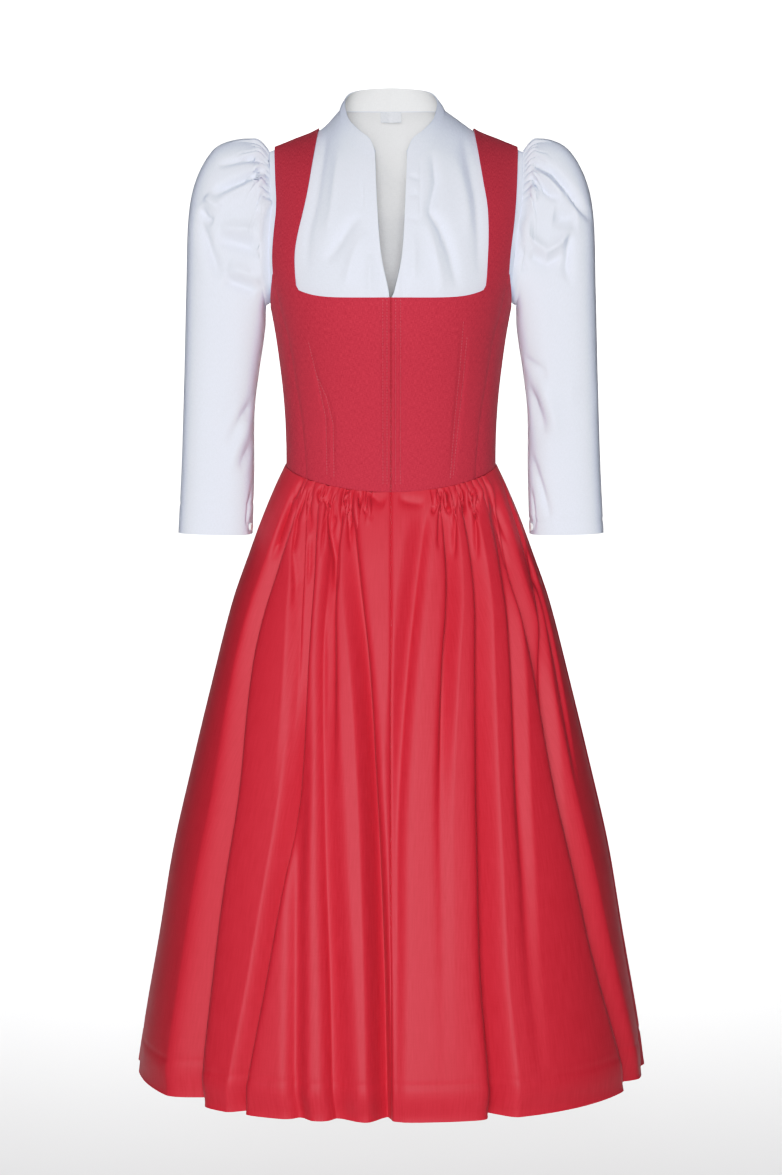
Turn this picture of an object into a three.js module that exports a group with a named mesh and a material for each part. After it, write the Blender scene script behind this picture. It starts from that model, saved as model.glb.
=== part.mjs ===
// A dirndl, worn with no wearer: a red linen bodice with a low square neckline, a long gathered
// sateen skirt, and the white stand-collar blouse with gathered three-quarter sleeves worn under it.
//
// Millimetres, +Z up. The wearer faces -Y, and the wearer's left is +X. The origin lies between the
// shoulders, level with the top of the shoulder straps, where the wearer carries the dress.
import * as THREE from "three";

// Cloth walls and seams
const BODICE_CLOTH = 1.6; // outer cloth and lining
const BLOUSE_CLOTH = 1.4;
const SKIRT_CLOTH = 1.8;
const UNDER_BODICE = 3.6; // how far the blouse's face lies inside the bodice's face
const SEAM_GAP = 0.4; // between two pieces that are sewn together

// Heights
const HEM_HEIGHT = -1092;
const SIDE_WAIST = -379;
const WAIST_DIP = 29; // how much lower the waist seam is at the centre front
const UNDERARM = -199; // lowest point of the bodice's armhole
const SEAM_TOP = -160; // where the side-front and side-back seams meet the armhole
const BLOUSE_HEM = -296; // the blouse is cropped under the bust
const BLOUSE_UNDERARM = -188;
const BLOUSE_SHOULDER = 147.5; // half width from sleeve seam to sleeve seam

// The torso's sections at the bodice's outer face: half width, and depth before and behind.
const SQUARENESS = 2.3;
const TORSO = [
  { z: 60, half: 156, front: 122, back: 99 },
  { z: -100, half: 156, front: 122, back: 99 },
  { z: -140, half: 152.5, front: 123, back: 98.5 },
  { z: -170, half: 147, front: 124.5, back: 98 },
  { z: -190, half: 142, front: 125, back: 97 },
  { z: -225, half: 135.5, front: 121, back: 94 },
  { z: -260, half: 130.5, front: 112, back: 90 },
  { z: -300, half: 126, front: 102, back: 85 },
  { z: -340, half: 123.5, front: 94, back: 81 },
  { z: -379, half: 123, front: 90, back: 78.5 },
  { z: -410, half: 124, front: 90, back: 80 },
];

// Above this height the front and the back curve towards each other and meet along the shoulders.
const ARCH_FOOT = -190;
const ARCH = { front: { rise: 2, fall: 1.5 }, back: { rise: 2.5, fall: 2.8 } };
const SHOULDER = [
  { x: 0, z: 56 },
  { x: 40, z: 48 },
  { x: 57, z: 38 },
  { x: 90, z: 11 },
  { x: 120, z: -2 },
  { x: 140, z: -10 },
  { x: 152, z: -15 },
];

// Seams and edges of the bodice, as distances from the centre at each height.
const SIDE_FRONT_SEAM = [
  { z: -160, x: 135.2 },
  { z: -200, x: 127.5 },
  { z: -235, x: 118 },
  { z: -280, x: 111 },
  { z: -322, x: 104 },
  { z: -379, x: 98.5 },
];
const SIDE_BACK_SEAM = [
  { z: -160, x: 134 },
  { z: -235, x: 119 },
  { z: -300, x: 110 },
  { z: -379, x: 103 },
];
const ARMHOLE_EDGE = [
  { z: 0, x: 142 },
  { z: -54, x: 139 },
  { z: -82, x: 137.3 },
  { z: -110, x: 137 },
  { z: -137, x: 136.3 },
  { z: -160, x: 135.2 },
];
const FRONT_STRAP_EDGE = [
  { z: 12, x: 90 },
  { z: -37, x: 97 },
  { z: -57, x: 100 },
  { z: -93, x: 106 },
  { z: -130, x: 110 },
  { z: -160, x: 109.5 },
  { z: -180, x: 107.5 },
];
const BACK_STRAP_EDGE = [
  { z: 12, x: 90 },
  { z: -30, x: 94 },
  { z: -60, x: 99 },
  { z: -80, x: 101 },
];

// Neck seam of the blouse from the front end (0) to the shoulder (1).
const FRONT_NECK = [
  { along: 0, x: 18, z: -33 },
  { along: 0.3, x: 38, z: -25.5 },
  { along: 0.6, x: 52.5, z: -3 },
  { along: 0.85, x: 60, z: 18 },
  { along: 1, x: 61.5, z: 31 },
];
const BACK_NECK = { half: 61.5, centre: 34.2, drop: 3.2 };

// Front slit of the blouse: how far each edge stands from the centre.
const SLIT = [
  { z: -20, left: 19.3, right: 17 },
  { z: -80, left: 17, right: 14.6 },
  { z: -140, left: 13.3, right: 9.8 },
  { z: -180, left: 5, right: 1.5 },
  { z: -194, left: 0.2, right: 0.2 },
  { z: -300, left: 0.2, right: 0.2 },
];

// Top edge of the stand collar, from the front end (0) by the shoulder (1) to the centre back (2).
const COLLAR_TOP = [
  { along: 0, x: 18.6, y: -75.5, z: -21 },
  { along: 0.15, x: 24, y: -66, z: -7.5 },
  { along: 0.4, x: 36.5, y: -55, z: 3.5 },
  { along: 0.7, x: 49, y: -34, z: 19 },
  { along: 1, x: 54, y: 2, z: 42 },
  { along: 1.25, x: 50, y: 19, z: 51.5 },
  { along: 1.5, x: 40, y: 34, z: 57 },
  { along: 1.75, x: 22, y: 46, z: 60.5 },
  { along: 2, x: 0, y: 50, z: 62 },
];
const COLLAR_CLOTH = 2;

// Sleeve sections from just outside the armhole to the cuff: the point next to the body, the point
// furthest from it, the depth before and behind, and how much of the armhole's shape is left.
const SLEEVE = [
  { inX: 143.5, inZ: -189.5, outX: 153, outZ: -7.5, front: 52, back: 45, armhole: 0.85 },
  { inX: 145.6, inZ: -194, outX: 166, outZ: -2.8, front: 53, back: 48, armhole: 0.6 },
  { inX: 146.2, inZ: -201, outX: 185, outZ: -3, front: 53, back: 50, armhole: 0.35 },
  { inX: 146.4, inZ: -209, outX: 207, outZ: -15, front: 53, back: 51, armhole: 0.15 },
  { inX: 146.8, inZ: -219, outX: 226, outZ: -48, front: 53, back: 51, armhole: 0 },
  { inX: 149.5, inZ: -240, outX: 235.5, outZ: -92, front: 52, back: 51, armhole: 0 },
  { inX: 154.5, inZ: -272, outX: 238.5, outZ: -170, front: 51, back: 50, armhole: 0 },
  { inX: 160, inZ: -320, outX: 241.5, outZ: -270, front: 48, back: 48, armhole: 0 },
  { inX: 160.8, inZ: -392, outX: 245.5, outZ: -378, front: 46, back: 46, armhole: 0 },
  { inX: 163, inZ: -461, outX: 250, outZ: -459, front: 46, back: 45, armhole: 0 },
];
const SLEEVE_SQUARENESS = 2.2;

// Gathers of a sleeve head: the cloth is drawn up over this much of the armhole, both ways from the top.
const SLEEVE_GATHERS = { count: 24, reach: 78, deep: 2, fade: 0.4 };
const SLEEVE_PLAIN_COLUMNS = 10;

// Large creases of the sleeves: turn from the outer side towards the front, place down the sleeve
// (0 to 1), depth, half width in degrees, half length, and how far they turn over their length.
const SLEEVE_CREASES = {
  right: [
    { turn: 40, down: 0.36, deep: 6, wide: 26, long: 0.07, lean: -160 },
    { turn: 95, down: 0.47, deep: 5, wide: 40, long: 0.045, lean: 0 },
    { turn: 50, down: 0.6, deep: 4, wide: 14, long: 0.12, lean: 120 },
    { turn: 125, down: 0.82, deep: 3.5, wide: 16, long: 0.07, lean: -200 },
    { turn: 245, down: 0.55, deep: 4, wide: 30, long: 0.06, lean: 120 },
  ],
  left: [
    { turn: 35, down: 0.38, deep: 6, wide: 24, long: 0.08, lean: -170 },
    { turn: 85, down: 0.5, deep: 4.5, wide: 38, long: 0.05, lean: 0 },
    { turn: 135, down: 0.74, deep: 5, wide: 18, long: 0.08, lean: -180 },
    { turn: 120, down: 0.88, deep: 3, wide: 12, long: 0.07, lean: -120 },
    { turn: 235, down: 0.58, deep: 4, wide: 30, long: 0.06, lean: 140 },
  ],
};

// The skirt's sections from the waist seam (0) to the hem (1).
const SKIRT = [
  { down: 0, half: 124, front: 91, back: 80 },
  { down: 0.04, half: 137.5, front: 103, back: 97 },
  { down: 0.09, half: 152.5, front: 115, back: 112 },
  { down: 0.145, half: 167, front: 126, back: 124 },
  { down: 0.225, half: 187, front: 142, back: 141 },
  { down: 0.36, half: 212, front: 166, back: 166 },
  { down: 0.5, half: 236.5, front: 190, back: 190 },
  { down: 0.63, half: 258, front: 213, back: 212 },
  { down: 0.77, half: 275, front: 237, back: 236 },
  { down: 0.9, half: 291.5, front: 258, back: 256 },
  { down: 1, half: 303, front: 272, back: 270 },
];
const SKIRT_ROWS = [0, 0.012, 0.035, 0.075, 0.14, 0.25, 0.42, 0.62, 0.82, 1];

// Large folds of the skirt: the turn from the centre front, in degrees, of each valley at the waist,
// halfway and at the hem, its depth high up and low down, and its half width at the hem.
const FOLDS = [
  { waist: -50, middle: -49, hem: -43, high: 12, low: 17, wide: 22 },
  { waist: -39, middle: -26.5, hem: -29.5, high: 8, low: 12, wide: 20 },
  { waist: -30, middle: -20, hem: -12.5, high: 5, low: 9, wide: 22 },
  { waist: -22, middle: -5.5, hem: -1.5, high: 6, low: 8, wide: 14 },
  { waist: 19, middle: 4.2, hem: 2, high: 5, low: 5, wide: 14 },
  { waist: 26, middle: 15, hem: 12, high: 8, low: 2, wide: 14 },
  { waist: 38, middle: 25.4, hem: 20.4, high: 11, low: 15, wide: 20 },
  { waist: 55, middle: 38, hem: 33, high: 8, low: 5, wide: 20 },
  { waist: 61, middle: 50.5, hem: 58.5, high: 11, low: 18, wide: 22 },
  { waist: 73, middle: 55.5, hem: 66, high: 8, low: 4, wide: 18 },
  { waist: 84, middle: 82, hem: 80, high: 4, low: 8, wide: 22 },
  { waist: -72, middle: -66, hem: -62, high: 5, low: 8, wide: 20 },
  { waist: -92, middle: -88, hem: -84, high: 4, low: 9, wide: 24 },
  { waist: 104, middle: 102, hem: 101, high: 9, low: 14, wide: 24 },
  { waist: 119, middle: 121, hem: 123, high: 8, low: 12, wide: 20 },
  { waist: 138, middle: 141, hem: 143, high: 10, low: 17, wide: 24 },
  { waist: 156, middle: 158, hem: 162, high: 8, low: 12, wide: 20 },
  { waist: 175, middle: 176, hem: 178, high: 9, low: 15, wide: 24 },
  { waist: -163, middle: -164, hem: -161, high: 9, low: 13, wide: 22 },
  { waist: -146, middle: -144, hem: -141, high: 10, low: 16, wide: 24 },
  { waist: -127, middle: -125, hem: -122, high: 8, low: 12, wide: 20 },
  { waist: -110, middle: -106, hem: -104, high: 9, low: 14, wide: 24 },
];

// Stretches of each skirt panel, outwards from its first edge: their ends at the waist and at the
// hem in degrees, and either their gathers or, where the cloth is plain, their columns.
const GATHER = { columns: 3, deep: 2.4, swell: 0.02, fade: 0.17 };
const SKIRT_PANELS = {
  skirt_front_left: [
    { waist: 0, hem: 0 },
    { waist: 20.7, hem: 8, plain: 3 },
    { waist: 59, hem: 66, gathers: 11 },
    { waist: 92, hem: 92, plain: 7 },
  ],
  skirt_front_right: [
    { waist: 0, hem: 0 },
    { waist: -8.8, hem: -5, plain: 2 },
    { waist: -48.6, hem: -60, gathers: 11 },
    { waist: -92, hem: -92, plain: 8 },
  ],
  skirt_back_left: [
    { waist: 92, hem: 92 },
    { waist: 102, hem: 100, plain: 2 },
    { waist: 177, hem: 177, gathers: 14 },
    { waist: 180, hem: 180, plain: 1 },
  ],
  skirt_back_right: [
    { waist: -92, hem: -92 },
    { waist: -102, hem: -100, plain: 2 },
    { waist: -177, hem: -177, gathers: 14 },
    { waist: -180, hem: -180, plain: 1 },
  ],
};

// The left shoulder strap lies further out than the right one, as the dress hangs slightly turned.
const SHIFT = { far: 6, from: 50, full: 88, back: 150, end: 205, low: -150, high: -70 };

const CUFF_BUTTON = { radius: 4.5, thick: 2.4, above: 9, turn: 158 };

const part = new THREE.Group();

const linen = new THREE.MeshStandardMaterial({ color: 0xc23a48, roughness: 0.8, metalness: 0 });
const sateen = new THREE.MeshStandardMaterial({ color: 0xd63a47, roughness: 0.6, metalness: 0 });
const poplin = new THREE.MeshStandardMaterial({ color: 0xe9ebf2, roughness: 0.8, metalness: 0 });
const pearl = new THREE.MeshStandardMaterial({ color: 0xf2efe8, roughness: 0.3, metalness: 0 });

const { degToRad, lerp, radToDeg, smoothstep } = THREE.MathUtils;

// Value of a table's column where another column has the value at: a smooth curve through its rows.
function read(table, by, at, name) {
  const last = table.length - 1;
  const upwards = table[last][by] > table[0][by];
  let i = 0;
  while (i < last - 1 && (upwards ? at > table[i + 1][by] : at < table[i + 1][by])) i += 1;
  const slope = (row) => {
    const before = table[Math.max(row - 1, 0)];
    const after = table[Math.min(row + 1, last)];
    return (after[name] - before[name]) / (after[by] - before[by]);
  };
  const step = table[i + 1][by] - table[i][by];
  const t = THREE.MathUtils.clamp((at - table[i][by]) / step, 0, 1);
  const ease = t * t * (3 - 2 * t);
  return (
    lerp(table[i][name], table[i + 1][name], ease) +
    t * (1 - t) * step * ((1 - t) * slope(i) - t * slope(i + 1))
  );
}

// Distance of a rounded square of size 1 from its centre, in the direction turn.
function rounded(turn, squareness) {
  const across = Math.abs(Math.sin(turn)) ** squareness;
  const along = Math.abs(Math.cos(turn)) ** squareness;
  return (across + along) ** (-1 / squareness);
}

// How far before (facing -1) or behind (facing 1) the centre the torso's face lies, grown by out.
function torsoDepth(x, z, out, facing) {
  const half = read(TORSO, "z", z, "half") + out;
  const side = facing < 0 ? "front" : "back";
  const deep = read(TORSO, "z", z, side) + out;
  const across = Math.min(Math.abs(x) / half, 1);
  let arch = 1;
  if (z > ARCH_FOOT) {
    const top = read(SHOULDER, "x", Math.abs(x), "z") + out;
    const rise = Math.min((z - ARCH_FOOT) / (top - ARCH_FOOT), 1);
    arch = (1 - rise ** ARCH[side].rise) ** (1 / ARCH[side].fall);
  }
  return facing * deep * (1 - across ** SQUARENESS) ** (1 / SQUARENESS) * arch;
}

function torsoPoint(x, z, out, facing) {
  return [x, torsoDepth(x, z, out, facing) + (facing * SEAM_GAP) / 2, z];
}

// Turn from the centre front of a point on the torso, in degrees.
function turnOf(x, z, facing) {
  const half = read(TORSO, "z", z, "half");
  const deep = read(TORSO, "z", z, facing < 0 ? "front" : "back");
  return radToDeg(Math.atan2(Math.abs(x) / half, -torsoDepth(x, z, 0, facing) / deep));
}

function waistHeight(turn) {
  return SIDE_WAIST - WAIST_DIP * Math.max(Math.cos(degToRad(turn)), 0) ** 1.6;
}

// Height of the waist seam at a distance x from the centre.
function waistUnder(x, facing) {
  let z = SIDE_WAIST;
  for (let pass = 0; pass < 4; pass += 1) z = waistHeight(turnOf(x, z, facing));
  return z;
}

function settled([x, y, z]) {
  const far = Math.abs(x);
  const sideways = smoothstep(far, SHIFT.from, SHIFT.full) * (1 - smoothstep(far, SHIFT.back, SHIFT.end));
  return [x + SHIFT.far * sideways * smoothstep(z, SHIFT.low, SHIFT.high), y, z];
}

// Closed wall of cloth over a grid: at(row, column, face) gives a point of the outer face (0) or of
// the inner face (1), and has(row, column) says which cells the piece covers.
function wall(rows, columns, at, { round = false, has = () => true } = {}) {
  const across = round ? columns : columns + 1;
  const points = [];
  const seen = new Map();
  const vertex = (row, column, face) => {
    const wrapped = round ? column % columns : column;
    const key = (face * (rows + 1) + row) * across + wrapped;
    if (!seen.has(key)) {
      seen.set(key, points.length / 3);
      points.push(...settled(at(row, wrapped, face)));
    }
    return seen.get(key);
  };
  const covered = (row, column) => {
    const wrapped = round ? (column + columns) % columns : column;
    return row >= 0 && row < rows && wrapped >= 0 && wrapped < columns && has(row, wrapped);
  };
  const faces = [];
  const quad = (a, b, c, d) => faces.push(a, b, c, a, c, d);
  for (let row = 0; row < rows; row += 1) {
    for (let column = 0; column < columns; column += 1) {
      if (!covered(row, column)) continue;
      const corners = [
        [row, column],
        [row, column + 1],
        [row + 1, column + 1],
        [row + 1, column],
      ];
      const outer = corners.map(([r, c]) => vertex(r, c, 0));
      const inner = corners.map(([r, c]) => vertex(r, c, 1));
      quad(...outer);
      quad(...inner.toReversed());
      const beside = [
        [row - 1, column],
        [row, column + 1],
        [row + 1, column],
        [row, column - 1],
      ];
      beside.forEach(([r, c], side) => {
        const next = (side + 1) % 4;
        if (!covered(r, c)) quad(outer[side], inner[side], inner[next], outer[next]);
      });
    }
  }
  return outwards(points, faces);
}

// Geometry whose faces point outwards, whichever way its grid ran.
function outwards(points, faces) {
  const corner = (index) => new THREE.Vector3().fromArray(points, index * 3);
  let volume = 0;
  for (let i = 0; i < faces.length; i += 3) {
    const [a, b, c] = [0, 1, 2].map((k) => corner(faces[i + k]));
    volume += a.dot(b.cross(c));
  }
  if (volume < 0) faces.reverse();
  const geometry = new THREE.BufferGeometry();
  geometry.setAttribute("position", new THREE.Float32BufferAttribute(points, 3));
  geometry.setIndex(faces);
  geometry.computeVertexNormals();
  return geometry;
}

function add(name, geometry, material) {
  const mesh = new THREE.Mesh(geometry, material);
  mesh.name = name;
  part.add(mesh);
  return mesh;
}

// Bodice fronts and backs. Each half runs from the centre to the side seam, and goes on as a strap
// to the shoulder. Its neckline is level at first, with a rounded corner under the strap.
const BODICE_HALVES = {
  front: {
    facing: -1,
    seam: SIDE_FRONT_SEAM,
    strap: FRONT_STRAP_EDGE,
    neckline: -188,
    corner: 9,
    yokeRows: 0,
    yokeFoot: -188,
    yokeTop: SEAM_TOP,
  },
  back: {
    facing: 1,
    seam: SIDE_BACK_SEAM,
    strap: BACK_STRAP_EDGE,
    neckline: -86,
    corner: 12,
    yokeRows: 3,
    yokeFoot: -170,
    yokeTop: -92,
  },
};
const HALF_COLUMNS = [0, 0.2, 0.4, 0.6, 0.8, 0.87, 0.935, 1];
const STRAP_COLUMN = 4; // the column that turns up at the neckline's corner
const SEAM_ROWS = 6;
const STRAP_ROWS = 6;

function bodiceHalf(hand, half) {
  const { facing, seam, strap, neckline, corner, yokeRows, yokeFoot, yokeTop } = BODICE_HALVES[half];
  const strapRow = SEAM_ROWS + yokeRows;
  const outerEdge = (z) =>
    z > SEAM_TOP ? read(ARMHOLE_EDGE, "z", z, "x") : read(seam, "z", z, "x") - SEAM_GAP / 2;
  const cornerShare = HALF_COLUMNS[STRAP_COLUMN];

  // Height of the level row that ends at the armhole's foot, and of the neckline row.
  const seamTop = (share) =>
    yokeRows ? lerp(yokeFoot, SEAM_TOP, share ** 3) : necklineAt(share);
  const necklineAt = (share) => {
    const raised = neckline + corner * Math.min(share / cornerShare, 1) ** 6;
    return lerp(raised, yokeTop, Math.max(share - cornerShare, 0) / (1 - cornerShare));
  };

  const at = (row, column, face) => {
    const out = -face * BODICE_CLOTH;
    const share = HALF_COLUMNS[column];
    const centre = SEAM_GAP / 2;
    let x;
    let z;
    if (row <= strapRow) {
      const low = row <= SEAM_ROWS;
      const up = low ? row / SEAM_ROWS : (row - SEAM_ROWS) / yokeRows;
      z = low ? -300 : -150;
      for (let pass = 0; pass < 4; pass += 1) {
        x = lerp(centre, outerEdge(z), share);
        const foot = low ? waistUnder(x, facing) + SEAM_GAP / 2 : seamTop(share);
        z = lerp(foot, low ? seamTop(share) : necklineAt(share), up);
      }
    } else {
      const up = Math.sin(((row - strapRow) / STRAP_ROWS) * (Math.PI / 2));
      const beside = (share - cornerShare) / (1 - cornerShare);
      z = -50;
      for (let pass = 0; pass < 6; pass += 1) {
        x = lerp(read(strap, "z", z, "x"), outerEdge(z), beside);
        z = lerp(necklineAt(share), read(SHOULDER, "x", x, "z") + out, up);
      }
    }
    const half = read(TORSO, "z", z, "half");
    const [across, y] = torsoPoint((x * (half + out)) / half, z, out, facing);
    return [hand * across, y, z];
  };
  return wall(strapRow + STRAP_ROWS, HALF_COLUMNS.length - 1, at, {
    has: (row, column) => row < strapRow || column >= STRAP_COLUMN,
  });
}

// Bodice side: it closes the bodice under the arm, and its top edge is the foot of the armhole.
const SIDE_COLUMNS = 8;

function bodiceSide(hand) {
  const at = (row, column, face) => {
    const out = -face * BODICE_CLOTH;
    const share = column / SIDE_COLUMNS;
    let z = -300;
    let turn;
    for (let pass = 0; pass < 6; pass += 1) {
      const first = turnOf(read(SIDE_FRONT_SEAM, "z", z, "x") + SEAM_GAP / 2, z, -1);
      const final = turnOf(read(SIDE_BACK_SEAM, "z", z, "x") + SEAM_GAP / 2, z, 1);
      turn = lerp(first, final, share);
      const top = lerp(UNDERARM, SEAM_TOP, Math.abs(2 * share - 1) ** 2.2);
      z = lerp(waistHeight(turn) + SEAM_GAP / 2, top, row / SEAM_ROWS);
    }
    const way = degToRad(turn);
    const reach = rounded(way, SQUARENESS);
    const deep = read(TORSO, "z", z, turn < 90 ? "front" : "back") + out;
    const x = (read(TORSO, "z", z, "half") + out) * reach * Math.sin(way);
    return [hand * x, -deep * reach * Math.cos(way), z];
  };
  return wall(SEAM_ROWS, SIDE_COLUMNS, at);
}

// Skirt panels: a bell with large folds, whose cloth is drawn into gathers at the waist seam.
function foldDepth(turn, down, radius) {
  let depth = 0;
  for (const fold of FOLDS) {
    const high = lerp(fold.waist, fold.middle, Math.min(down / 0.45, 1));
    const place = down < 0.45 ? high : lerp(fold.middle, fold.hem, (down - 0.45) / 0.55);
    const away = degToRad(((turn - place + 540) % 360) - 180) * radius;
    const wide = lerp(0.45, 1, down) * fold.wide;
    const deep = lerp(fold.high, fold.low, down) * smoothstep(down, 0, 0.12);
    depth += deep * Math.exp(-((away / wide) ** 2));
  }
  return depth;
}

function skirtPanel(stretches) {
  const columns = [{ waist: stretches[0].waist, hem: stretches[0].hem, crest: 0 }];
  for (let i = 1; i < stretches.length; i += 1) {
    const [before, { waist, hem, gathers, plain }] = [stretches[i - 1], stretches[i]];
    const cells = gathers ? gathers * GATHER.columns : plain;
    for (let cell = 1; cell <= cells; cell += 1) {
      const share = cell / cells;
      const crest = gathers && cell < cells ? (cell % GATHER.columns ? 0.5 : -1) : 0;
      columns.push({ waist: lerp(before.waist, waist, share), hem: lerp(before.hem, hem, share), crest });
    }
  }
  const last = columns.length - 1;
  const onward = Math.sign(columns[last].waist - columns[0].waist);

  const at = (row, column, face) => {
    const down = SKIRT_ROWS[row];
    const { waist, hem, crest } = columns[column];
    const turn = lerp(waist, hem, smoothstep(down, 0, 0.8));
    const way = degToRad(turn);
    const reach = rounded(way, SQUARENESS);
    const deep = read(SKIRT, "down", down, Math.abs(turn) < 90 ? "front" : "back");
    const x = read(SKIRT, "down", down, "half") * reach * Math.sin(way);
    const y = -deep * reach * Math.cos(way);
    const radius = Math.hypot(x, y);
    const swell = GATHER.deep * (0.6 + smoothstep(down, 0, GATHER.swell));
    const gather = crest * swell * (1 - smoothstep(down, GATHER.swell, GATHER.fade));
    const grown = (radius + gather - foldDepth(turn, down, radius) - face * SKIRT_CLOTH) / radius;
    const edge = column === 0 ? onward : column === last ? -onward : 0;
    const gap = (edge * SEAM_GAP) / 2 / radius;
    const z = lerp(waistHeight(turn) - SEAM_GAP / 2, HEM_HEIGHT, down);
    return [(x - y * gap) * grown, (y + x * gap) * grown, z];
  };
  return wall(SKIRT_ROWS.length - 1, last, at);
}

// Armhole seam of the blouse, round from the top (0) by the front (90) and the foot (180).
function armholeSeam(turn, out) {
  const top = read(SHOULDER, "x", BLOUSE_SHOULDER, "z") + out;
  const foot = read(TORSO, "z", BLOUSE_UNDERARM, "half") + out;
  const up = (1 + Math.cos(degToRad(turn))) / 2;
  const z = lerp(BLOUSE_UNDERARM - UNDER_BODICE - out, top, up);
  const x = lerp(foot, BLOUSE_SHOULDER, up);
  return { x, y: torsoDepth(x, z, out, turn % 360 < 180 ? -1 : 1), z };
}

// Rows of a blouse piece: up the side seam to the underarm, then up the armhole to the shoulder.
const BLOUSE_SIDE_ROWS = 2;
const BLOUSE_ARM_ROWS = 9;
const NECK_ALONG = [0, 0.15, 0.4, 0.7, 1];
const SHOULDER_ALONG = [0.35, 0.7, 1];

// Top edge of a blouse piece: along the neck seam, then along the shoulder seam.
function blouseTop(facing) {
  const neck = NECK_ALONG.map((along) => {
    if (facing < 0) {
      return { x: read(FRONT_NECK, "along", along, "x"), z: read(FRONT_NECK, "along", along, "z") };
    }
    const x = BACK_NECK.half * Math.sin((along * Math.PI) / 2);
    return { x, z: BACK_NECK.centre - BACK_NECK.drop * (x / BACK_NECK.half) ** 6 };
  });
  const start = neck.at(-1).x;
  const shoulder = SHOULDER_ALONG.map((along) => ({ x: lerp(start, BLOUSE_SHOULDER, along), seam: true }));
  neck[neck.length - 1].seam = true;
  return [...neck, ...shoulder];
}

function blousePoint(row, corner, inner, out, facing) {
  const outer = (z) =>
    z < BLOUSE_UNDERARM ? read(TORSO, "z", z, "half") + out : armholeAtHeight(z, out);
  const top = corner.seam ? read(SHOULDER, "x", corner.x, "z") + out : corner.z + out + UNDER_BODICE;
  const share = (corner.x - inner(top)) / (outer(top) - inner(top));
  const foot = lerp(BLOUSE_UNDERARM - 12, BLOUSE_UNDERARM, share);
  let z;
  if (row <= BLOUSE_SIDE_ROWS) {
    z = lerp(BLOUSE_HEM, foot, row / BLOUSE_SIDE_ROWS);
  } else {
    const turn = ((row - BLOUSE_SIDE_ROWS) / BLOUSE_ARM_ROWS) * Math.PI;
    z = lerp(foot, top, (1 - Math.cos(turn)) / 2);
  }
  return torsoPoint(lerp(inner(z), outer(z), share), z, out, facing);
}

function armholeAtHeight(z, out) {
  const top = read(SHOULDER, "x", BLOUSE_SHOULDER, "z") + out;
  const foot = read(TORSO, "z", BLOUSE_UNDERARM, "half") + out;
  return lerp(foot, BLOUSE_SHOULDER, (z - BLOUSE_UNDERARM) / (top - BLOUSE_UNDERARM));
}

function blouseFront(hand) {
  const top = blouseTop(-1);
  const edge = hand > 0 ? "left" : "right";
  const slit = (z) => Math.max(read(SLIT, "z", Math.min(z, SLIT[0].z), edge), SEAM_GAP / 2);
  const at = (row, column, face) => {
    const out = -UNDER_BODICE - face * BLOUSE_CLOTH;
    const [x, y, z] = blousePoint(row, top[column], slit, out, -1);
    return [hand * x, y, z];
  };
  return wall(BLOUSE_SIDE_ROWS + BLOUSE_ARM_ROWS, top.length - 1, at);
}

function blouseBack() {
  const right = blouseTop(1);
  const corners = [...right.toReversed().map((corner) => ({ ...corner, hand: -1 })), ...right.slice(1)];
  const at = (row, column, face) => {
    const out = -UNDER_BODICE - face * BLOUSE_CLOTH;
    const [x, y, z] = blousePoint(row, corners[column], () => 0, out, 1);
    return [(corners[column].hand ?? 1) * x, y, z];
  };
  return wall(BLOUSE_SIDE_ROWS + BLOUSE_ARM_ROWS, corners.length - 1, at);
}

// Stand collar: a band that rises from the neck seam and leans towards the neck.
const COLLAR_ROWS = 3;

function collar() {
  const fronts = blouseTop(-1).slice(0, NECK_ALONG.length);
  const backs = blouseTop(1).slice(0, NECK_ALONG.length).toReversed();
  const half = [
    ...fronts.map((corner, i) => ({ ...corner, facing: -1, along: NECK_ALONG[i] })),
    ...backs.slice(1).map((corner, i) => ({ ...corner, facing: 1, along: 2 - NECK_ALONG.at(-2 - i) })),
  ];
  const stations = [
    ...half.map((station) => ({ ...station, hand: -1 })),
    ...half.slice(0, -1).toReversed().map((station) => ({ ...station, hand: 1 })),
  ];
  const at = (row, column, face) => {
    const { x, z, seam, facing, along, hand } = stations[column];
    const foot = seam ? read(SHOULDER, "x", x, "z") - UNDER_BODICE : z;
    const y = seam ? 0 : torsoDepth(x, foot, -UNDER_BODICE, facing) + (facing * SEAM_GAP) / 2;
    const up = row / COLLAR_ROWS;
    const outer = new THREE.Vector3(
      lerp(x, read(COLLAR_TOP, "along", along, "x"), up),
      lerp(y, read(COLLAR_TOP, "along", along, "y"), up),
      lerp(foot + SEAM_GAP, read(COLLAR_TOP, "along", along, "z"), up),
    );
    const plan = Math.hypot(outer.x, outer.y);
    const grown = (plan - face * COLLAR_CLOTH) / plan;
    return [hand * outer.x * grown, outer.y * grown, outer.z];
  };
  return wall(COLLAR_ROWS, stations.length - 1, at);
}

// Sleeve: gathered into the armhole seam, full over the shoulder, then hanging straight to the cuff.
function creaseDepth(hand, turn, down) {
  let depth = 0;
  for (const crease of SLEEVE_CREASES[hand > 0 ? "left" : "right"]) {
    const away = down - crease.down;
    const aside = ((turn - crease.turn - crease.lean * away + 540) % 360) - 180;
    depth += crease.deep * Math.exp(-((aside / crease.wide) ** 2) - (away / crease.long) ** 2);
  }
  return depth;
}

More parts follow.
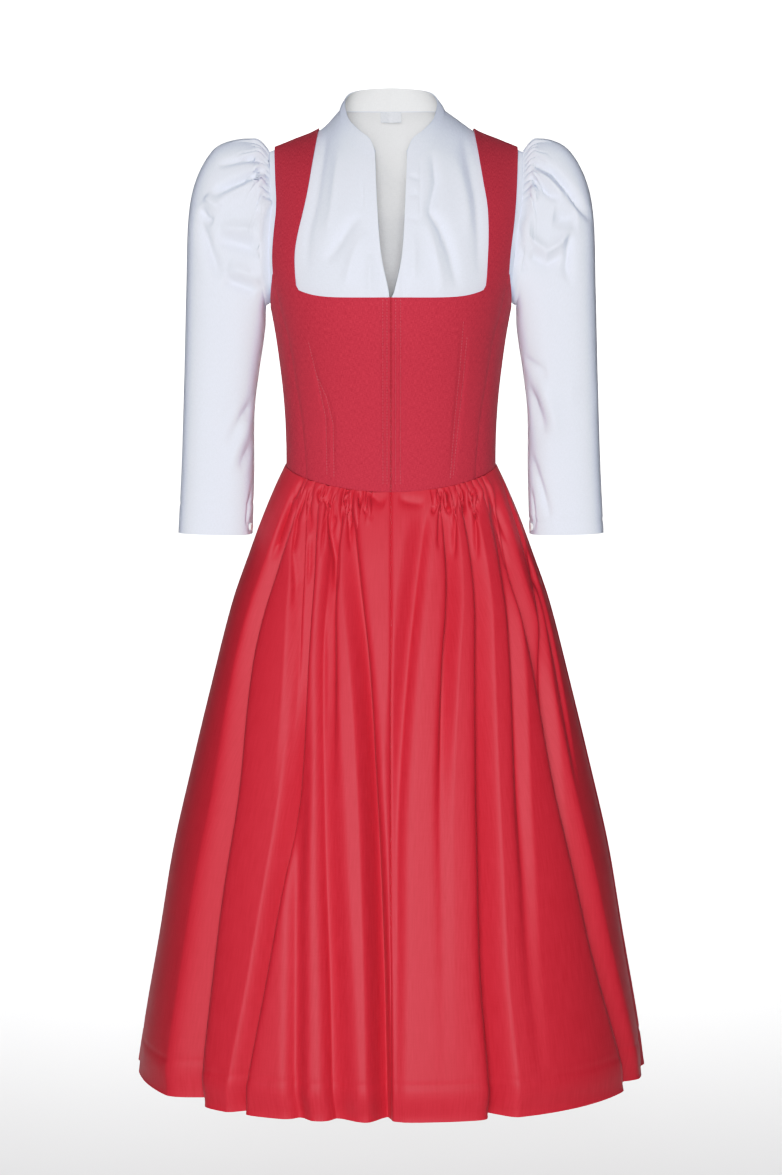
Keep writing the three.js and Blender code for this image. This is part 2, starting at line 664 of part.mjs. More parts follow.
// Point of a sleeve's wall at turn degrees round from the outer side by the front, on section row.
function sleevePoint(hand, row, turn, inwards) {
  const { inX, inZ, outX, outZ, front, back, armhole } = SLEEVE[row - 1];
  const facing = turn < 180 ? "front" : "back";
  const deep = (facing === "front" ? front : back) - inwards;
  const across = new THREE.Vector2(outX - inX, outZ - inZ);
  const long = across.length() / 2 - inwards;
  across.normalize();
  const way = degToRad(turn);
  const shape = rounded(way, SLEEVE_SQUARENESS);
  const seamShape = armholeSeam(turn, -UNDER_BODICE).y / armholeSeam(facing === "front" ? 90 : 270, -UNDER_BODICE).y;
  const aside = deep * lerp(shape * Math.abs(Math.sin(way)), seamShape, armhole);
  const length = long * lerp(shape, 1, armhole) * Math.cos(way);
  const x = (inX + outX) / 2 + across.x * length;
  const z = (inZ + outZ) / 2 + across.y * length;
  return [hand * x, facing === "front" ? -aside : aside, z];
}

function sleeve(hand) {
  const { count, reach, deep, fade } = SLEEVE_GATHERS;
  const gathered = count * 2;
  const columns = gathered + SLEEVE_PLAIN_COLUMNS;
  const startTurn = (column) =>
    column <= gathered
      ? lerp(-reach, reach, column / gathered)
      : lerp(reach, 360 - reach, (column - gathered) / SLEEVE_PLAIN_COLUMNS);
  const evenTurn = (column) => lerp(0, 360, (column - gathered / 2) / columns);
  const sections = SLEEVE.length;
  const seamMiddle = (armholeSeam(0, 0).z + BLOUSE_UNDERARM) / 2;

  const at = (row, column, face) => {
    const down = row / sections;
    const spread = smoothstep(down, 0.1, 0.6);
    const turn = (lerp(startTurn(column), evenTurn(column), spread) + 360) % 360;
    const crest = column < gathered ? (column % 2 ? 1 : -1) : 0;
    const gather = crest * deep * (1 - smoothstep(down, 0.05, fade));
    if (row === 0) {
      const seam = armholeSeam(turn, -UNDER_BODICE - face * BLOUSE_CLOTH);
      const edge = armholeSeam(turn, -UNDER_BODICE).x + SEAM_GAP;
      const grown = 1 + gather / (armholeSeam(0, 0).z - seamMiddle);
      return [hand * edge, seam.y * grown, seamMiddle + (seam.z - seamMiddle) * grown];
    }
    const crease = row > 1 ? creaseDepth(hand, turn, down) : 0;
    return sleevePoint(hand, row, turn, face * BLOUSE_CLOTH - gather + crease);
  };
  return wall(sections, columns, at, { round: true });
}

// Small button that closes the slit at each cuff, on the inner side towards the front.
function cuffButton(hand) {
  const { radius, thick, above, turn } = CUFF_BUTTON;
  const [low, high] = [SLEEVE.length, SLEEVE.length - 1].map((row) =>
    new THREE.Vector3(...sleevePoint(hand, row, turn, 0)),
  );
  const aside = new THREE.Vector3(...sleevePoint(hand, SLEEVE.length, turn + 1, 0));
  const place = low.clone().lerp(high, above / low.distanceTo(high));
  const outward = high.clone().sub(low).cross(aside.sub(low)).normalize().multiplyScalar(hand);
  const button = new THREE.CylinderGeometry(radius, radius, thick, 16);
  button.applyQuaternion(new THREE.Quaternion().setFromUnitVectors(new THREE.Vector3(0, 1, 0), outward));
  place.addScaledVector(outward, thick / 2 + SEAM_GAP);
  return button.translate(place.x, place.y, place.z);
}

for (const [side, hand] of [["left", 1], ["right", -1]]) {
  add(`bodice_front_${side}`, bodiceHalf(hand, "front"), linen);
  add(`bodice_side_${side}`, bodiceSide(hand), linen);
  add(`bodice_back_${side}`, bodiceHalf(hand, "back"), linen);
  add(`blouse_front_${side}`, blouseFront(hand), poplin);
  add(`sleeve_${side}`, sleeve(hand), poplin);
  add(`cuff_button_${side}`, cuffButton(hand), pearl);
}
add("blouse_back", blouseBack(), poplin);
add("collar", collar(), poplin);
for (const [name, stretches] of Object.entries(SKIRT_PANELS)) add(name, skirtPanel(stretches), sateen);

export default part;
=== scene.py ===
"""A dirndl worn with no wearer, in metres, +Z up, with the front towards -Y."""

import bpy
import numpy as np
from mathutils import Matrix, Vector


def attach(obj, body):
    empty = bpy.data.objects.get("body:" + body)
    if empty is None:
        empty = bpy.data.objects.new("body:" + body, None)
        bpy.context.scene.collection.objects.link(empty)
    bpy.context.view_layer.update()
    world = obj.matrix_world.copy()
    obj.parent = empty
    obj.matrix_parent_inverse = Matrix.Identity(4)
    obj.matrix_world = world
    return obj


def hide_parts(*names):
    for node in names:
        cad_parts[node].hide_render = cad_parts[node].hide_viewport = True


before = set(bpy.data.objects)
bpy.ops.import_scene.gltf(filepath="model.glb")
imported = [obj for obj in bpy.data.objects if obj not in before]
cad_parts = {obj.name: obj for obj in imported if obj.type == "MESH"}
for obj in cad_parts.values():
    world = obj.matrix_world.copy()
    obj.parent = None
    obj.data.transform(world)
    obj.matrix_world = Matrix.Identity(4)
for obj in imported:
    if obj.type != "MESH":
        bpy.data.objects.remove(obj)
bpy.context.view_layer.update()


# Camera
# The photograph was taken from the front, about 3 m away and from 5 degrees above.
LOOKED_AT = Vector((0, 0, -0.525))
DISTANCE = 3.0
DOWNWARD = np.radians(5)

camera_data = bpy.data.cameras.new("camera")
camera_data.lens = 77.9
camera = bpy.data.objects.new("camera", camera_data)
bpy.context.scene.collection.objects.link(camera)
camera.location = LOOKED_AT + DISTANCE * Vector((0, -np.cos(DOWNWARD), np.sin(DOWNWARD)))
camera.rotation_euler = (np.pi / 2 - DOWNWARD, 0, 0)
bpy.context.scene.camera = camera


# Back of the blouse
# The blouse is made of white cotton poplin and is cropped under the bust. Its back is one piece, which
# is sewn to the fronts along the shoulders and the sides and to the collar at the neck.
BLOUSE_CLOTH = 0.0011
UNDER_BODICE = 0.0036  # how far the blouse's face lies inside the bodice's face
SEAM_GAP = 0.00001
BLOUSE_HEM = -0.296
BLOUSE_UNDERARM = -0.188
BLOUSE_SHOULDER = 0.1475  # half width from sleeve seam to sleeve seam

# The body's sections at the bodice's outer face: half width, and depth before and behind.
SQUARENESS = 2.3
TORSO = {
    "z": (0.06, -0.1, -0.14, -0.17, -0.19, -0.225, -0.26, -0.3, -0.34, -0.379, -0.41),
    "half": (0.156, 0.156, 0.1525, 0.147, 0.142, 0.1355, 0.1305, 0.126, 0.1235, 0.123, 0.124),
    "front": (0.122, 0.122, 0.123, 0.1245, 0.125, 0.121, 0.112, 0.102, 0.094, 0.09, 0.09),
    "back": (0.099, 0.099, 0.0985, 0.098, 0.097, 0.094, 0.09, 0.085, 0.081, 0.0785, 0.08),
}

# Above this height the front and the back curve towards each other and meet along the shoulders.
ARCH_FOOT = -0.19
ARCH = {"front": (2, 1.5), "back": (2.5, 2.8)}
SHOULDER = {
    "x": (0, 0.04, 0.057, 0.09, 0.12, 0.14, 0.152),
    "z": (0.056, 0.048, 0.038, 0.011, -0.002, -0.01, -0.015),
}

# The dress hangs slightly turned, so that the left strap lies further out than the right one.
SHIFT = {"far": 0.006, "from": 0.05, "full": 0.088, "back": 0.15, "end": 0.205, "low": -0.15, "high": -0.07}

# Neck seam from the front end (0) to the shoulder (1), and round the back.
FRONT_NECK = {
    "along": (0, 0.3, 0.6, 0.85, 1),
    "x": (0.018, 0.038, 0.0525, 0.06, 0.0615),
    "z": (-0.033, -0.0255, -0.003, 0.018, 0.031),
}
BACK_NECK = {"half": 0.0615, "centre": 0.0342, "drop": 0.0032}


def read(table, by, at, name):
    """Value of a table's column where the column by has the value at, on a smooth curve."""
    known, values = np.array(table[by], float), np.array(table[name], float)
    if known[-1] < known[0]:
        known, values = known[::-1], values[::-1]
    slopes = np.empty_like(values)
    slopes[1:-1] = (values[2:] - values[:-2]) / (known[2:] - known[:-2])
    slopes[0] = (values[1] - values[0]) / (known[1] - known[0])
    slopes[-1] = (values[-1] - values[-2]) / (known[-1] - known[-2])
    row = np.clip(np.searchsorted(known, at, side="right") - 1, 0, len(known) - 2)
    step = known[row + 1] - known[row]
    share = np.clip((at - known[row]) / step, 0, 1)
    bend = (1 - share) * slopes[row] - share * slopes[row + 1]
    smooth = values[row] + (values[row + 1] - values[row]) * share * share * (3 - 2 * share)
    return smooth + share * (1 - share) * step * bend


def mix(first, second, share):
    return first + (second - first) * share


def ease(value, start, end):
    share = np.clip((value - start) / (end - start), 0, 1)
    return share * share * (3 - 2 * share)


def torso_depth(x, z, out, facing):
    """How far before (-1) or behind (1) the middle the body's face lies, grown by out."""
    side = "front" if facing < 0 else "back"
    half = read(TORSO, "z", z, "half") + out
    deep = read(TORSO, "z", z, side) + out
    across = np.minimum(np.abs(x) / half, 1)
    top = read(SHOULDER, "x", np.abs(x), "z") + out
    rise = np.clip((z - ARCH_FOOT) / (top - ARCH_FOOT), 0, 1)
    rising, falling = ARCH[side]
    arch = (1 - rise**rising) ** (1 / falling)
    return facing * deep * (1 - across**SQUARENESS) ** (1 / SQUARENESS) * arch


def on_torso(x, z, out, facing):
    return np.stack([x, torso_depth(x, z, out, facing) + facing * SEAM_GAP / 2, z], -1)


def settled(grid):
    """The grid moved sideways where the dress hangs slightly turned."""
    far = np.abs(grid[..., 0])
    sideways = ease(far, SHIFT["from"], SHIFT["full"]) * (1 - ease(far, SHIFT["back"], SHIFT["end"]))
    moved = grid.copy()
    moved[..., 0] += SHIFT["far"] * sideways * ease(grid[..., 2], SHIFT["low"], SHIFT["high"])
    return moved


def armhole_at(z, out):
    """Half width of the blouse from armhole seam to armhole seam at a height."""
    top = read(SHOULDER, "x", BLOUSE_SHOULDER, "z") + out
    foot = read(TORSO, "z", BLOUSE_UNDERARM, "half") + out
    return mix(foot, BLOUSE_SHOULDER, (z - BLOUSE_UNDERARM) / (top - BLOUSE_UNDERARM))


def blouse_top(facing, neck_steps, shoulder_steps):
    """Distance from the centre and height of the points along the neck, then along the shoulder."""
    along = np.linspace(0, 1, neck_steps + 1)
    if facing < 0:
        x, z = read(FRONT_NECK, "along", along, "x"), read(FRONT_NECK, "along", along, "z")
    else:
        x = BACK_NECK["half"] * np.sin(along * np.pi / 2)
        z = BACK_NECK["centre"] - BACK_NECK["drop"] * (x / BACK_NECK["half"]) ** 6
    z = z + UNDER_BODICE
    shoulder = mix(x[-1], BLOUSE_SHOULDER, np.linspace(0, 1, shoulder_steps + 1))
    on_seam = read(SHOULDER, "x", shoulder, "z")
    return np.append(x[:-1], shoulder), np.append(z[:-1], on_seam)


def blouse_grid(corner_x, corner_z, inner, rows, facing):
    """Points of half a blouse piece, from its hem up to the neck and the shoulder."""
    out = -UNDER_BODICE
    top = corner_z + out
    share = (corner_x - inner(top)) / (armhole_at(top, out) - inner(top))
    foot = mix(BLOUSE_UNDERARM - 0.012, BLOUSE_UNDERARM, share)
    low_rows = rows // 3
    low = np.linspace(0, 1, low_rows, endpoint=False)[:, None]
    up = (1 - np.cos(np.linspace(0, np.pi, rows - low_rows + 1)))[:, None] / 2
    z = np.vstack([mix(BLOUSE_HEM, foot, low), mix(foot, top, up)])
    outer = np.where(z < BLOUSE_UNDERARM, read(TORSO, "z", z, "half") + out, armhole_at(z, out))
    return on_torso(mix(inner(z), outer, share), z, out, facing)


def facing_out(grid, middle, wraps=False):
    """Unit normals of a grid of points, away from the middle, and whether its rows run that way."""
    along = np.gradient(grid, axis=0)
    around = np.roll(grid, -1, 1) - np.roll(grid, 1, 1) if wraps else np.gradient(grid, axis=1)
    normals = np.cross(around, along)
    normals /= np.maximum(np.linalg.norm(normals, axis=2, keepdims=True), 1e-12)
    turned = np.sum(normals * (grid - middle)) < 0
    return (-normals, False) if turned else (normals, True)


def surface(name, points, faces, finish):
    """A smooth mesh of its own, placed in the scene."""
    mesh = bpy.data.meshes.new(name)
    mesh.from_pydata(points, [], faces)
    mesh.shade_smooth()
    mesh.materials.append(finish)
    made = bpy.data.objects.new(name, mesh)
    bpy.context.scene.collection.objects.link(made)
    return made


def shell(name, outer, thick, finish, middle=(0, 0, 0), wraps=False, has=None, inside=None):
    """A thin wall of cloth whose outer face is a grid of points, and where has says it is there.

    The inner face can have a finish of its own.
    """
    normals, in_order = facing_out(outer, middle, wraps)
    faces = np.stack([outer, outer - thick * normals])
    rows, across = outer.shape[:2]
    cells = across if wraps else across - 1
    if has is None:
        has = np.ones((rows - 1, cells), bool)
    long = np.linalg.norm(np.diff(outer, axis=0), axis=2).mean(1)
    closed = np.concatenate([outer, outer[:, :1]], 1) if wraps else outer
    wide = np.linalg.norm(np.diff(closed, axis=1), axis=2).mean(0)
    down_cut = np.append(0, np.cumsum(long))
    over_cut = np.append(0, np.cumsum(wide))

    row, column = np.nonzero(has)
    corners = [(row, column), (row, column + 1), (row + 1, column + 1), (row + 1, column)]

    def number(corner, face):
        return face * rows * across + corner[0] * across + corner[1] % across

    def on_cut(corner):
        return np.stack([over_cut[corner[1]], down_cut[corner[0]]], 1)

    both = ((0, corners), (1, corners[::-1]))
    quads = [np.stack([number(c, face) for c in order], 1) for face, order in both]
    cuts = [np.stack([on_cut(c) for c in order], 1) for face, order in both]
    around = np.pad(has, 1)
    if wraps:
        around[:, 0], around[:, -1] = around[:, -2], around[:, 1]
    for side, (down, over) in enumerate(((-1, 0), (0, 1), (1, 0), (0, -1))):
        edge = ~around[row + 1 + down, column + 1 + over]
        first, second = ((c[0][edge], c[1][edge]) for c in (corners[side], corners[(side + 1) % 4]))
        around_edge = ((first, 0), (first, 1), (second, 1), (second, 0))
        quads.append(np.stack([number(corner, face) for corner, face in around_edge], 1))
        cuts.append(np.stack([on_cut(c) for c in (first, first, second, second)], 1))
    quads, cuts = np.concatenate(quads), np.concatenate(cuts)
    if not in_order:
        quads, cuts = quads[:, ::-1], cuts[:, ::-1]
    used, quads = np.unique(quads, return_inverse=True)
    points = settled(faces.reshape(-1, 3)[used])

    piece = surface(name, points.tolist(), quads.reshape(-1, 4).tolist(), finish)
    piece.data.uv_layers.new(name="cut").data.foreach_set("uv", cuts.reshape(-1))
    piece.data.set_sharp_from_angle(angle=np.radians(75))
    if inside:
        piece.data.materials.append(inside)
        place = np.arange(len(piece.data.polygons)) // len(row)
        piece.data.polygons.foreach_set("material_index", (place == 1).astype(np.int32))
    return piece


def colour(code):
    """Linear colour of an sRGB hex code."""
    parts = [int(code[i : i + 2], 16) / 255 for i in (1, 3, 5)]
    return (*(p / 12.92 if p <= 0.04045 else ((p + 0.055) / 1.055) ** 2.4 for p in parts), 1)


def add_node(finish, kind, inputs, **settings):
    """Adds a shader node. Each of inputs is a value or the socket that is linked to it."""
    made = finish.node_tree.nodes.new("ShaderNode" + kind)
    for name, value in settings.items():
        setattr(made, name, value)
    for name, value in inputs.items():
        if isinstance(value, bpy.types.NodeSocket):
            finish.node_tree.links.new(value, made.inputs[name])
        else:
            made.inputs[name].default_value = value
    return made


def emptied(made):
    """The material or world, ready for nodes of its own."""
    made.use_nodes = True
    made.node_tree.nodes.clear()
    return made


def woven(name, colours, thread, relief, slub, shader):
    """A woven cloth: its two colours, thread spacing and relief in metres, and its uneven threads."""
    finish = emptied(bpy.data.materials.new(name))
    cut = add_node(finish, "UVMap", {}, uv_map="cut").outputs["UV"]
    threads = []
    for direction, stretch in (("X", (1, slub["short"], 1)), ("Y", (slub["short"], 1, 1))):
        place = add_node(finish, "Mapping", {"Vector": cut, "Scale": stretch}).outputs["Vector"]
        size = {"Scale": 1 / slub["wide"], "Detail": 3.0}
        uneven = add_node(finish, "TexNoise", {"Vector": place, **size})
        # The Wave texture's own bands are pi / 10 apart.
        size = {"Scale": np.pi / 10 / thread, "Distortion": 1.5, "Detail": 1.0, "Detail Scale": 2.0}
        bands = add_node(
            finish, "TexWave", {"Vector": cut, **size}, wave_type="BANDS", bands_direction=direction
        )
        threads.append((uneven.outputs["Fac"], bands.outputs["Fac"]))
    (slub_x, bands_x), (slub_y, bands_y) = threads
    weave = add_node(finish, "Math", {0: bands_x, 1: bands_y}, operation="MAXIMUM").outputs[0]
    cross = add_node(finish, "Math", {0: slub_y, 1: slub["cross"]}, operation="MULTIPLY").outputs[0]
    slubs = add_node(finish, "Math", {0: slub_x, 1: cross}, operation="ADD").outputs[0]
    middle = (1 + slub["cross"]) / 2
    limits = {"From Min": middle - 0.22, "From Max": middle + 0.22, "To Min": 0.0, "To Max": 1.0}
    spread = add_node(finish, "MapRange", {"Value": slubs, **limits}).outputs["Result"]
    shades = {"Factor": spread, 6: colour(colours[0]), 7: colour(colours[1])}
    tone = add_node(finish, "Mix", shades, data_type="RGBA").outputs[2]
    fine = add_node(finish, "Bump", {"Height": weave, "Strength": 0.6, "Distance": relief})
    both = {"Height": slubs, "Normal": fine.outputs["Normal"]}
    bump = add_node(finish, "Bump", {**both, "Strength": 0.7, "Distance": slub["relief"]})
    cloth = add_node(
        finish, "BsdfPrincipled", {"Base Color": tone, "Normal": bump.outputs["Normal"], **shader}
    )
    add_node(finish, "OutputMaterial", {"Surface": cloth.outputs["BSDF"]})
    return finish


# Cotton poplin, bleached, calendered and ironed: a smooth, nearly even white with a faint cross rib.
# The outer face is a cool white. The inner face of the back and the collar is painted lighter and less
# blue: this is painted light, standing in for light in the shade inside the blouse.
POPLIN_TONES = {
    "cotton_poplin_white": ("#DCE1EF", "#E4E9F7"),
    "cotton_poplin_white_inner_painted_light": ("#ECEBE6", "#F3F2ED"),
}
POPLIN_SLUB = {"wide": 0.0012, "short": 0.25, "cross": 1.0, "relief": 0.00003}
POPLIN_SHADER = {
    "Roughness": 0.62,
    "IOR": 1.46,
    "Specular IOR Level": 0.3,
    "Subsurface Weight": 0.4,
    "Subsurface Radius": (1.0, 1.0, 1.0),
    "Subsurface Scale": 0.002,
    "Sheen Weight": 0.05,
    "Sheen Roughness": 0.5,
}
poplin, poplin_inner_painted_light = (
    woven(name, tones, thread=0.0006, relief=0.00004, slub=POPLIN_SLUB, shader=POPLIN_SHADER)
    for name, tones in POPLIN_TONES.items()
)

corner_x, corner_z = blouse_top(1, neck_steps=30, shoulder_steps=26)
half_back = blouse_grid(corner_x, corner_z, lambda z: 0 * z, rows=80, facing=1)
mirrored = half_back[:, :0:-1] * (-1, 1, 1)
whole_back = np.concatenate([mirrored, half_back], 1)
# Its inner face has the poplin with painted light, lighter than its shade would be.
blouse_back = shell("blouse_back_poplin", whole_back, BLOUSE_CLOTH, poplin, inside=poplin_inner_painted_light)
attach(blouse_back, "root")
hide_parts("blouse_back")


# Fronts of the blouse
# Two fronts of the same poplin, sewn together below an open slit. A stitched facing stiffens each
# edge of the slit, and the cloth falls from the neck seam in soft creases.
SLIT = {
    "z": (-0.02, -0.08, -0.14, -0.18, -0.194, -0.3),
    "left": (0.0193, 0.017, 0.0133, 0.005, 0.0002, 0.0002),
    "right": (0.017, 0.0146, 0.0098, 0.0015, 0.0002, 0.0002),
}

# Creases seen from the front, in mm: their depth, which is below zero where they stand out as a
# ridge, their half width, and their line of x and z.
BLOUSE_CREASES = {
    "right": (
        (1.4, 1.4, ((-32.2, -50), (-32.6, -95))),
        (1, 1.2, ((-33.8, -98.5), (-14.6, -98.5))),
        (5, 6, ((-32.7, -95.7), (-46.2, -106.8), (-57.5, -123.6), (-73.3, -148.2))),
        (-3.4, 6.7, ((-26, -115), (-37, -128), (-45, -150), (-52, -178))),
        (-3.1, 4.5, ((-23.7, -140), (-23.7, -186))),
        (3.1, 5.3, ((-78, 5), (-88, -50), (-96, -110), (-94, -160))),
        (-2.5, 6.7, ((-60, -20), (-68, -70), (-75, -120))),
        (1.7, 2.3, ((-12, -155), (-14, -190))),
    ),
    "left": (
        (1.4, 1.4, ((33.3, -30), (32.6, -100))),
        (2.7, 1.9, ((19.1, -13.3), (30, -19), (39.3, -22.2))),
        (2, 2.3, ((20, -50), (33, -54))),
        (2, 2.3, ((20, -73), (33, -71))),
        (2, 2.3, ((18, -98), (34, -101))),
        (5.9, 5.3, (
            (46.1, -21.1), (51.7, -56.7), (43.9, -90.1), (55.2, -106.8), (66.5, -134.8), (75.7, -179.6)
        )),
        (-3.1, 6, ((38, -100), (47, -125), (55, -160), (58, -185))),
        (-3.1, 5.3, ((25.9, -115), (26, -170))),
        (3.1, 5.3, ((78, 0), (88, -60), (98, -120), (100, -160))),
        (-2.5, 6, ((68, -20), (78, -70), (86, -120))),
        (1.7, 2.3, ((12, -155), (14, -190))),
    ),
}


def crease(across, up, line, deep, wide):
    """Depth of a soft crease along a line of points, full in its middle and fading to its ends."""
    nearest = np.full(across.shape, np.inf)
    share = np.zeros(across.shape)
    points = np.array(line, float)
    lengths = np.linalg.norm(np.diff(points, axis=0), axis=1)
    done = 0.0
    for start, end, length in zip(points[:-1], points[1:], lengths):
        way = (end - start) / length
        along = np.clip((across - start[0]) * way[0] + (up - start[1]) * way[1], 0, length)
        away = np.hypot(across - start[0] - along * way[0], up - start[1] - along * way[1])
        closer = away < nearest
        nearest = np.where(closer, away, nearest)
        share = np.where(closer, (done + along) / lengths.sum(), share)
        done += length
    return deep * (1 - np.abs(2 * share - 1) ** 3) * np.exp(-((nearest / wide) ** 1.5))


def creased(grid, creases, middle, wraps=False, facing=-1):
    """The grid with its creases pressed in where it faces the front (-1) or the back (1)."""
    normals, _ = facing_out(grid, middle, wraps)
    seen = ease(facing * normals[..., 1], 0.05, 0.5)
    depth = sum(
        crease(grid[..., 0], grid[..., 2], np.array(line) / 1000, deep / 1000, wide / 1000)
        for deep, wide, line in creases
    )
    return grid - (depth * seen)[..., None] * normals


for side, hand in (("left", 1), ("right", -1)):
    corner_x, corner_z = blouse_top(-1, neck_steps=50, shoulder_steps=36)

    def slit_edge(z):
        return np.maximum(read(SLIT, "z", np.minimum(z, SLIT["z"][0]), side), SEAM_GAP / 2)

    front = blouse_grid(corner_x, corner_z, slit_edge, rows=110, facing=-1) * (hand, 1, 1)
    front = creased(front, BLOUSE_CREASES[side], (0, 0, 0))
    piece = shell(f"blouse_front_poplin_{side}", front, BLOUSE_CLOTH, poplin)
    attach(piece, "root")
    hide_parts(f"blouse_front_{side}")


# Collar
# A low stand collar of two layers of the poplin with a stiffener between them. It is sewn to the
# neck edge, leans towards the neck and ends at the slit. A small blank label is sewn inside it.
COLLAR_CLOTH = 0.0018
COLLAR_TOP = {
    "along": (0, 0.15, 0.4, 0.7, 1, 1.25, 1.5, 1.75, 2),
    "x": (0.0186, 0.024, 0.0365, 0.049, 0.054, 0.05, 0.04, 0.022, 0),
    "y": (-0.0755, -0.066, -0.055, -0.034, 0.002, 0.019, 0.034, 0.046, 0.05),
    "z": (-0.021, -0.0075, 0.0035, 0.019, 0.042, 0.0515, 0.057, 0.0605, 0.062),
}
LABEL = {"wide": 0.024, "low": 0.0215, "high": 0.0335, "thick": 0.0004, "clear": 0.0008}


def neck_half(steps):
    """Foot of the collar from its front end, by the shoulder, to the centre back."""
    front_x, front_z = blouse_top(-1, steps, 1)
    back_x, back_z = blouse_top(1, steps, 1)
    front_x, front_z, back_x, back_z = front_x[:-1], front_z[:-1], back_x[:-1], back_z[:-1]
    front_y = torso_depth(front_x, front_z - UNDER_BODICE, -UNDER_BODICE, -1) - SEAM_GAP / 2
    back_y = torso_depth(back_x, back_z - UNDER_BODICE, -UNDER_BODICE, 1) + SEAM_GAP / 2
    front_y[-1] = 0
    x = np.append(front_x, back_x[-2::-1])
    y = np.append(front_y, back_y[-2::-1])
    z = np.append(front_z, back_z[-2::-1]) - UNDER_BODICE
    return x, y, z


foot_x, foot_y, foot_z = neck_half(steps=48)
along = np.linspace(0, 2, len(foot_x))
up = np.linspace(0, 1, 15)[:, None]
leaning = np.sin(np.pi * up) * 0.0012
collar_half = np.stack(
    [
        mix(foot_x, read(COLLAR_TOP, "along", along, "x"), up) + leaning * np.sin(along * np.pi / 2),
        mix(foot_y, read(COLLAR_TOP, "along", along, "y"), up),
        mix(foot_z + SEAM_GAP, read(COLLAR_TOP, "along", along, "z"), up),
    ],
    -1,
)
collar_grid = np.concatenate([collar_half * (-1, 1, 1), collar_half[:, -2::-1]], 1)
# Its inner face has the poplin with painted light, lighter than its shade would be.
collar = shell("collar_poplin", collar_grid, COLLAR_CLOTH, poplin, inside=poplin_inner_painted_light)
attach(collar, "root")
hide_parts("collar")

# The label is sewn in at its upper edge and hangs straight down from the collar's seam.
label_x = np.linspace(-LABEL["wide"] / 2, LABEL["wide"] / 2, 17)
label_z = np.linspace(LABEL["low"], LABEL["high"], 11)[:, None]
seam_x, seam_y = collar_half[0, -2:-40:-1, 0], collar_half[0, -2:-40:-1, 1]
label_y = np.interp(np.abs(label_x), seam_x, seam_y) - COLLAR_CLOTH - LABEL["clear"]
label_grid = np.stack(np.broadcast_arrays(label_x, label_y, label_z), -1)

# Polyester ribbon, densely woven: smooth, and a little greyer than the poplin.
ribbon = woven(
    "polyester_label_ribbon_white",
    ("#C2C4C8", "#D2D4D8"),
    thread=0.0004,
    relief=0.00002,
    slub={"wide": 0.001, "short": 0.3, "cross": 1.0, "relief": 0.00001},
    shader={"Roughness": 0.45, "IOR": 1.54, "Specular IOR Level": 0.4},
)
label = shell("neck_label", label_grid, LABEL["thick"], ribbon, middle=(0, 1, 0))
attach(label, "root")


# Sleeves
# Three-quarter sleeves of the poplin, one piece each with a seam under the arm. The head is drawn
# into gathers at the armhole seam, and the lower edge is turned up and has a short slit.
SLEEVE_CLOTH = 0.0011
# Each button presses its cuff in: its middle on the left cuff, how far the hollow reaches, its depth.
BUTTON_SEAT = {"place": (0.1636, -0.018, -0.452), "reach": 0.009, "deep": 0.002}
SLEEVE_SQUARENESS = 2.8

# Sections from just outside the armhole to the cuff: the point next to the body, the point furthest
# from it, the depth before and behind, and how much of the armhole's shape is left.
SLEEVE = {
    "row": (1, 2, 3, 4, 5, 6, 7, 8, 9, 10),
    "in_x": (0.1435, 0.1456, 0.1462, 0.1464, 0.1468, 0.1495, 0.1545, 0.16, 0.1608, 0.163),
    "in_z": (-0.1895, -0.194, -0.201, -0.209, -0.219, -0.24, -0.272, -0.32, -0.392, -0.461),
    "out_x": (0.153, 0.166, 0.185, 0.207, 0.226, 0.2355, 0.2385, 0.2415, 0.2455, 0.25),
    "out_z": (-0.0075, -0.0028, -0.003, -0.015, -0.048, -0.092, -0.17, -0.27, -0.378, -0.459),
    "front": (0.052, 0.053, 0.053, 0.053, 0.053, 0.052, 0.051, 0.048, 0.046, 0.046),
    "back": (0.045, 0.048, 0.05, 0.051, 0.051, 0.051, 0.05, 0.048, 0.046, 0.045),
    "armhole": (0.85, 0.6, 0.35, 0.15, 0, 0, 0, 0, 0, 0),
}
# Gathers of the head: how many, how far they reach each way from the top in degrees, their depth, and
# how many sections they are blended over.
HEAD_GATHERS = {"count": 24, "reach": 78, "deep": 0.0055, "rows": 2}
PLAIN_SHARE = 0.2  # of the columns round the sleeve, the share that isn't gathered at the head

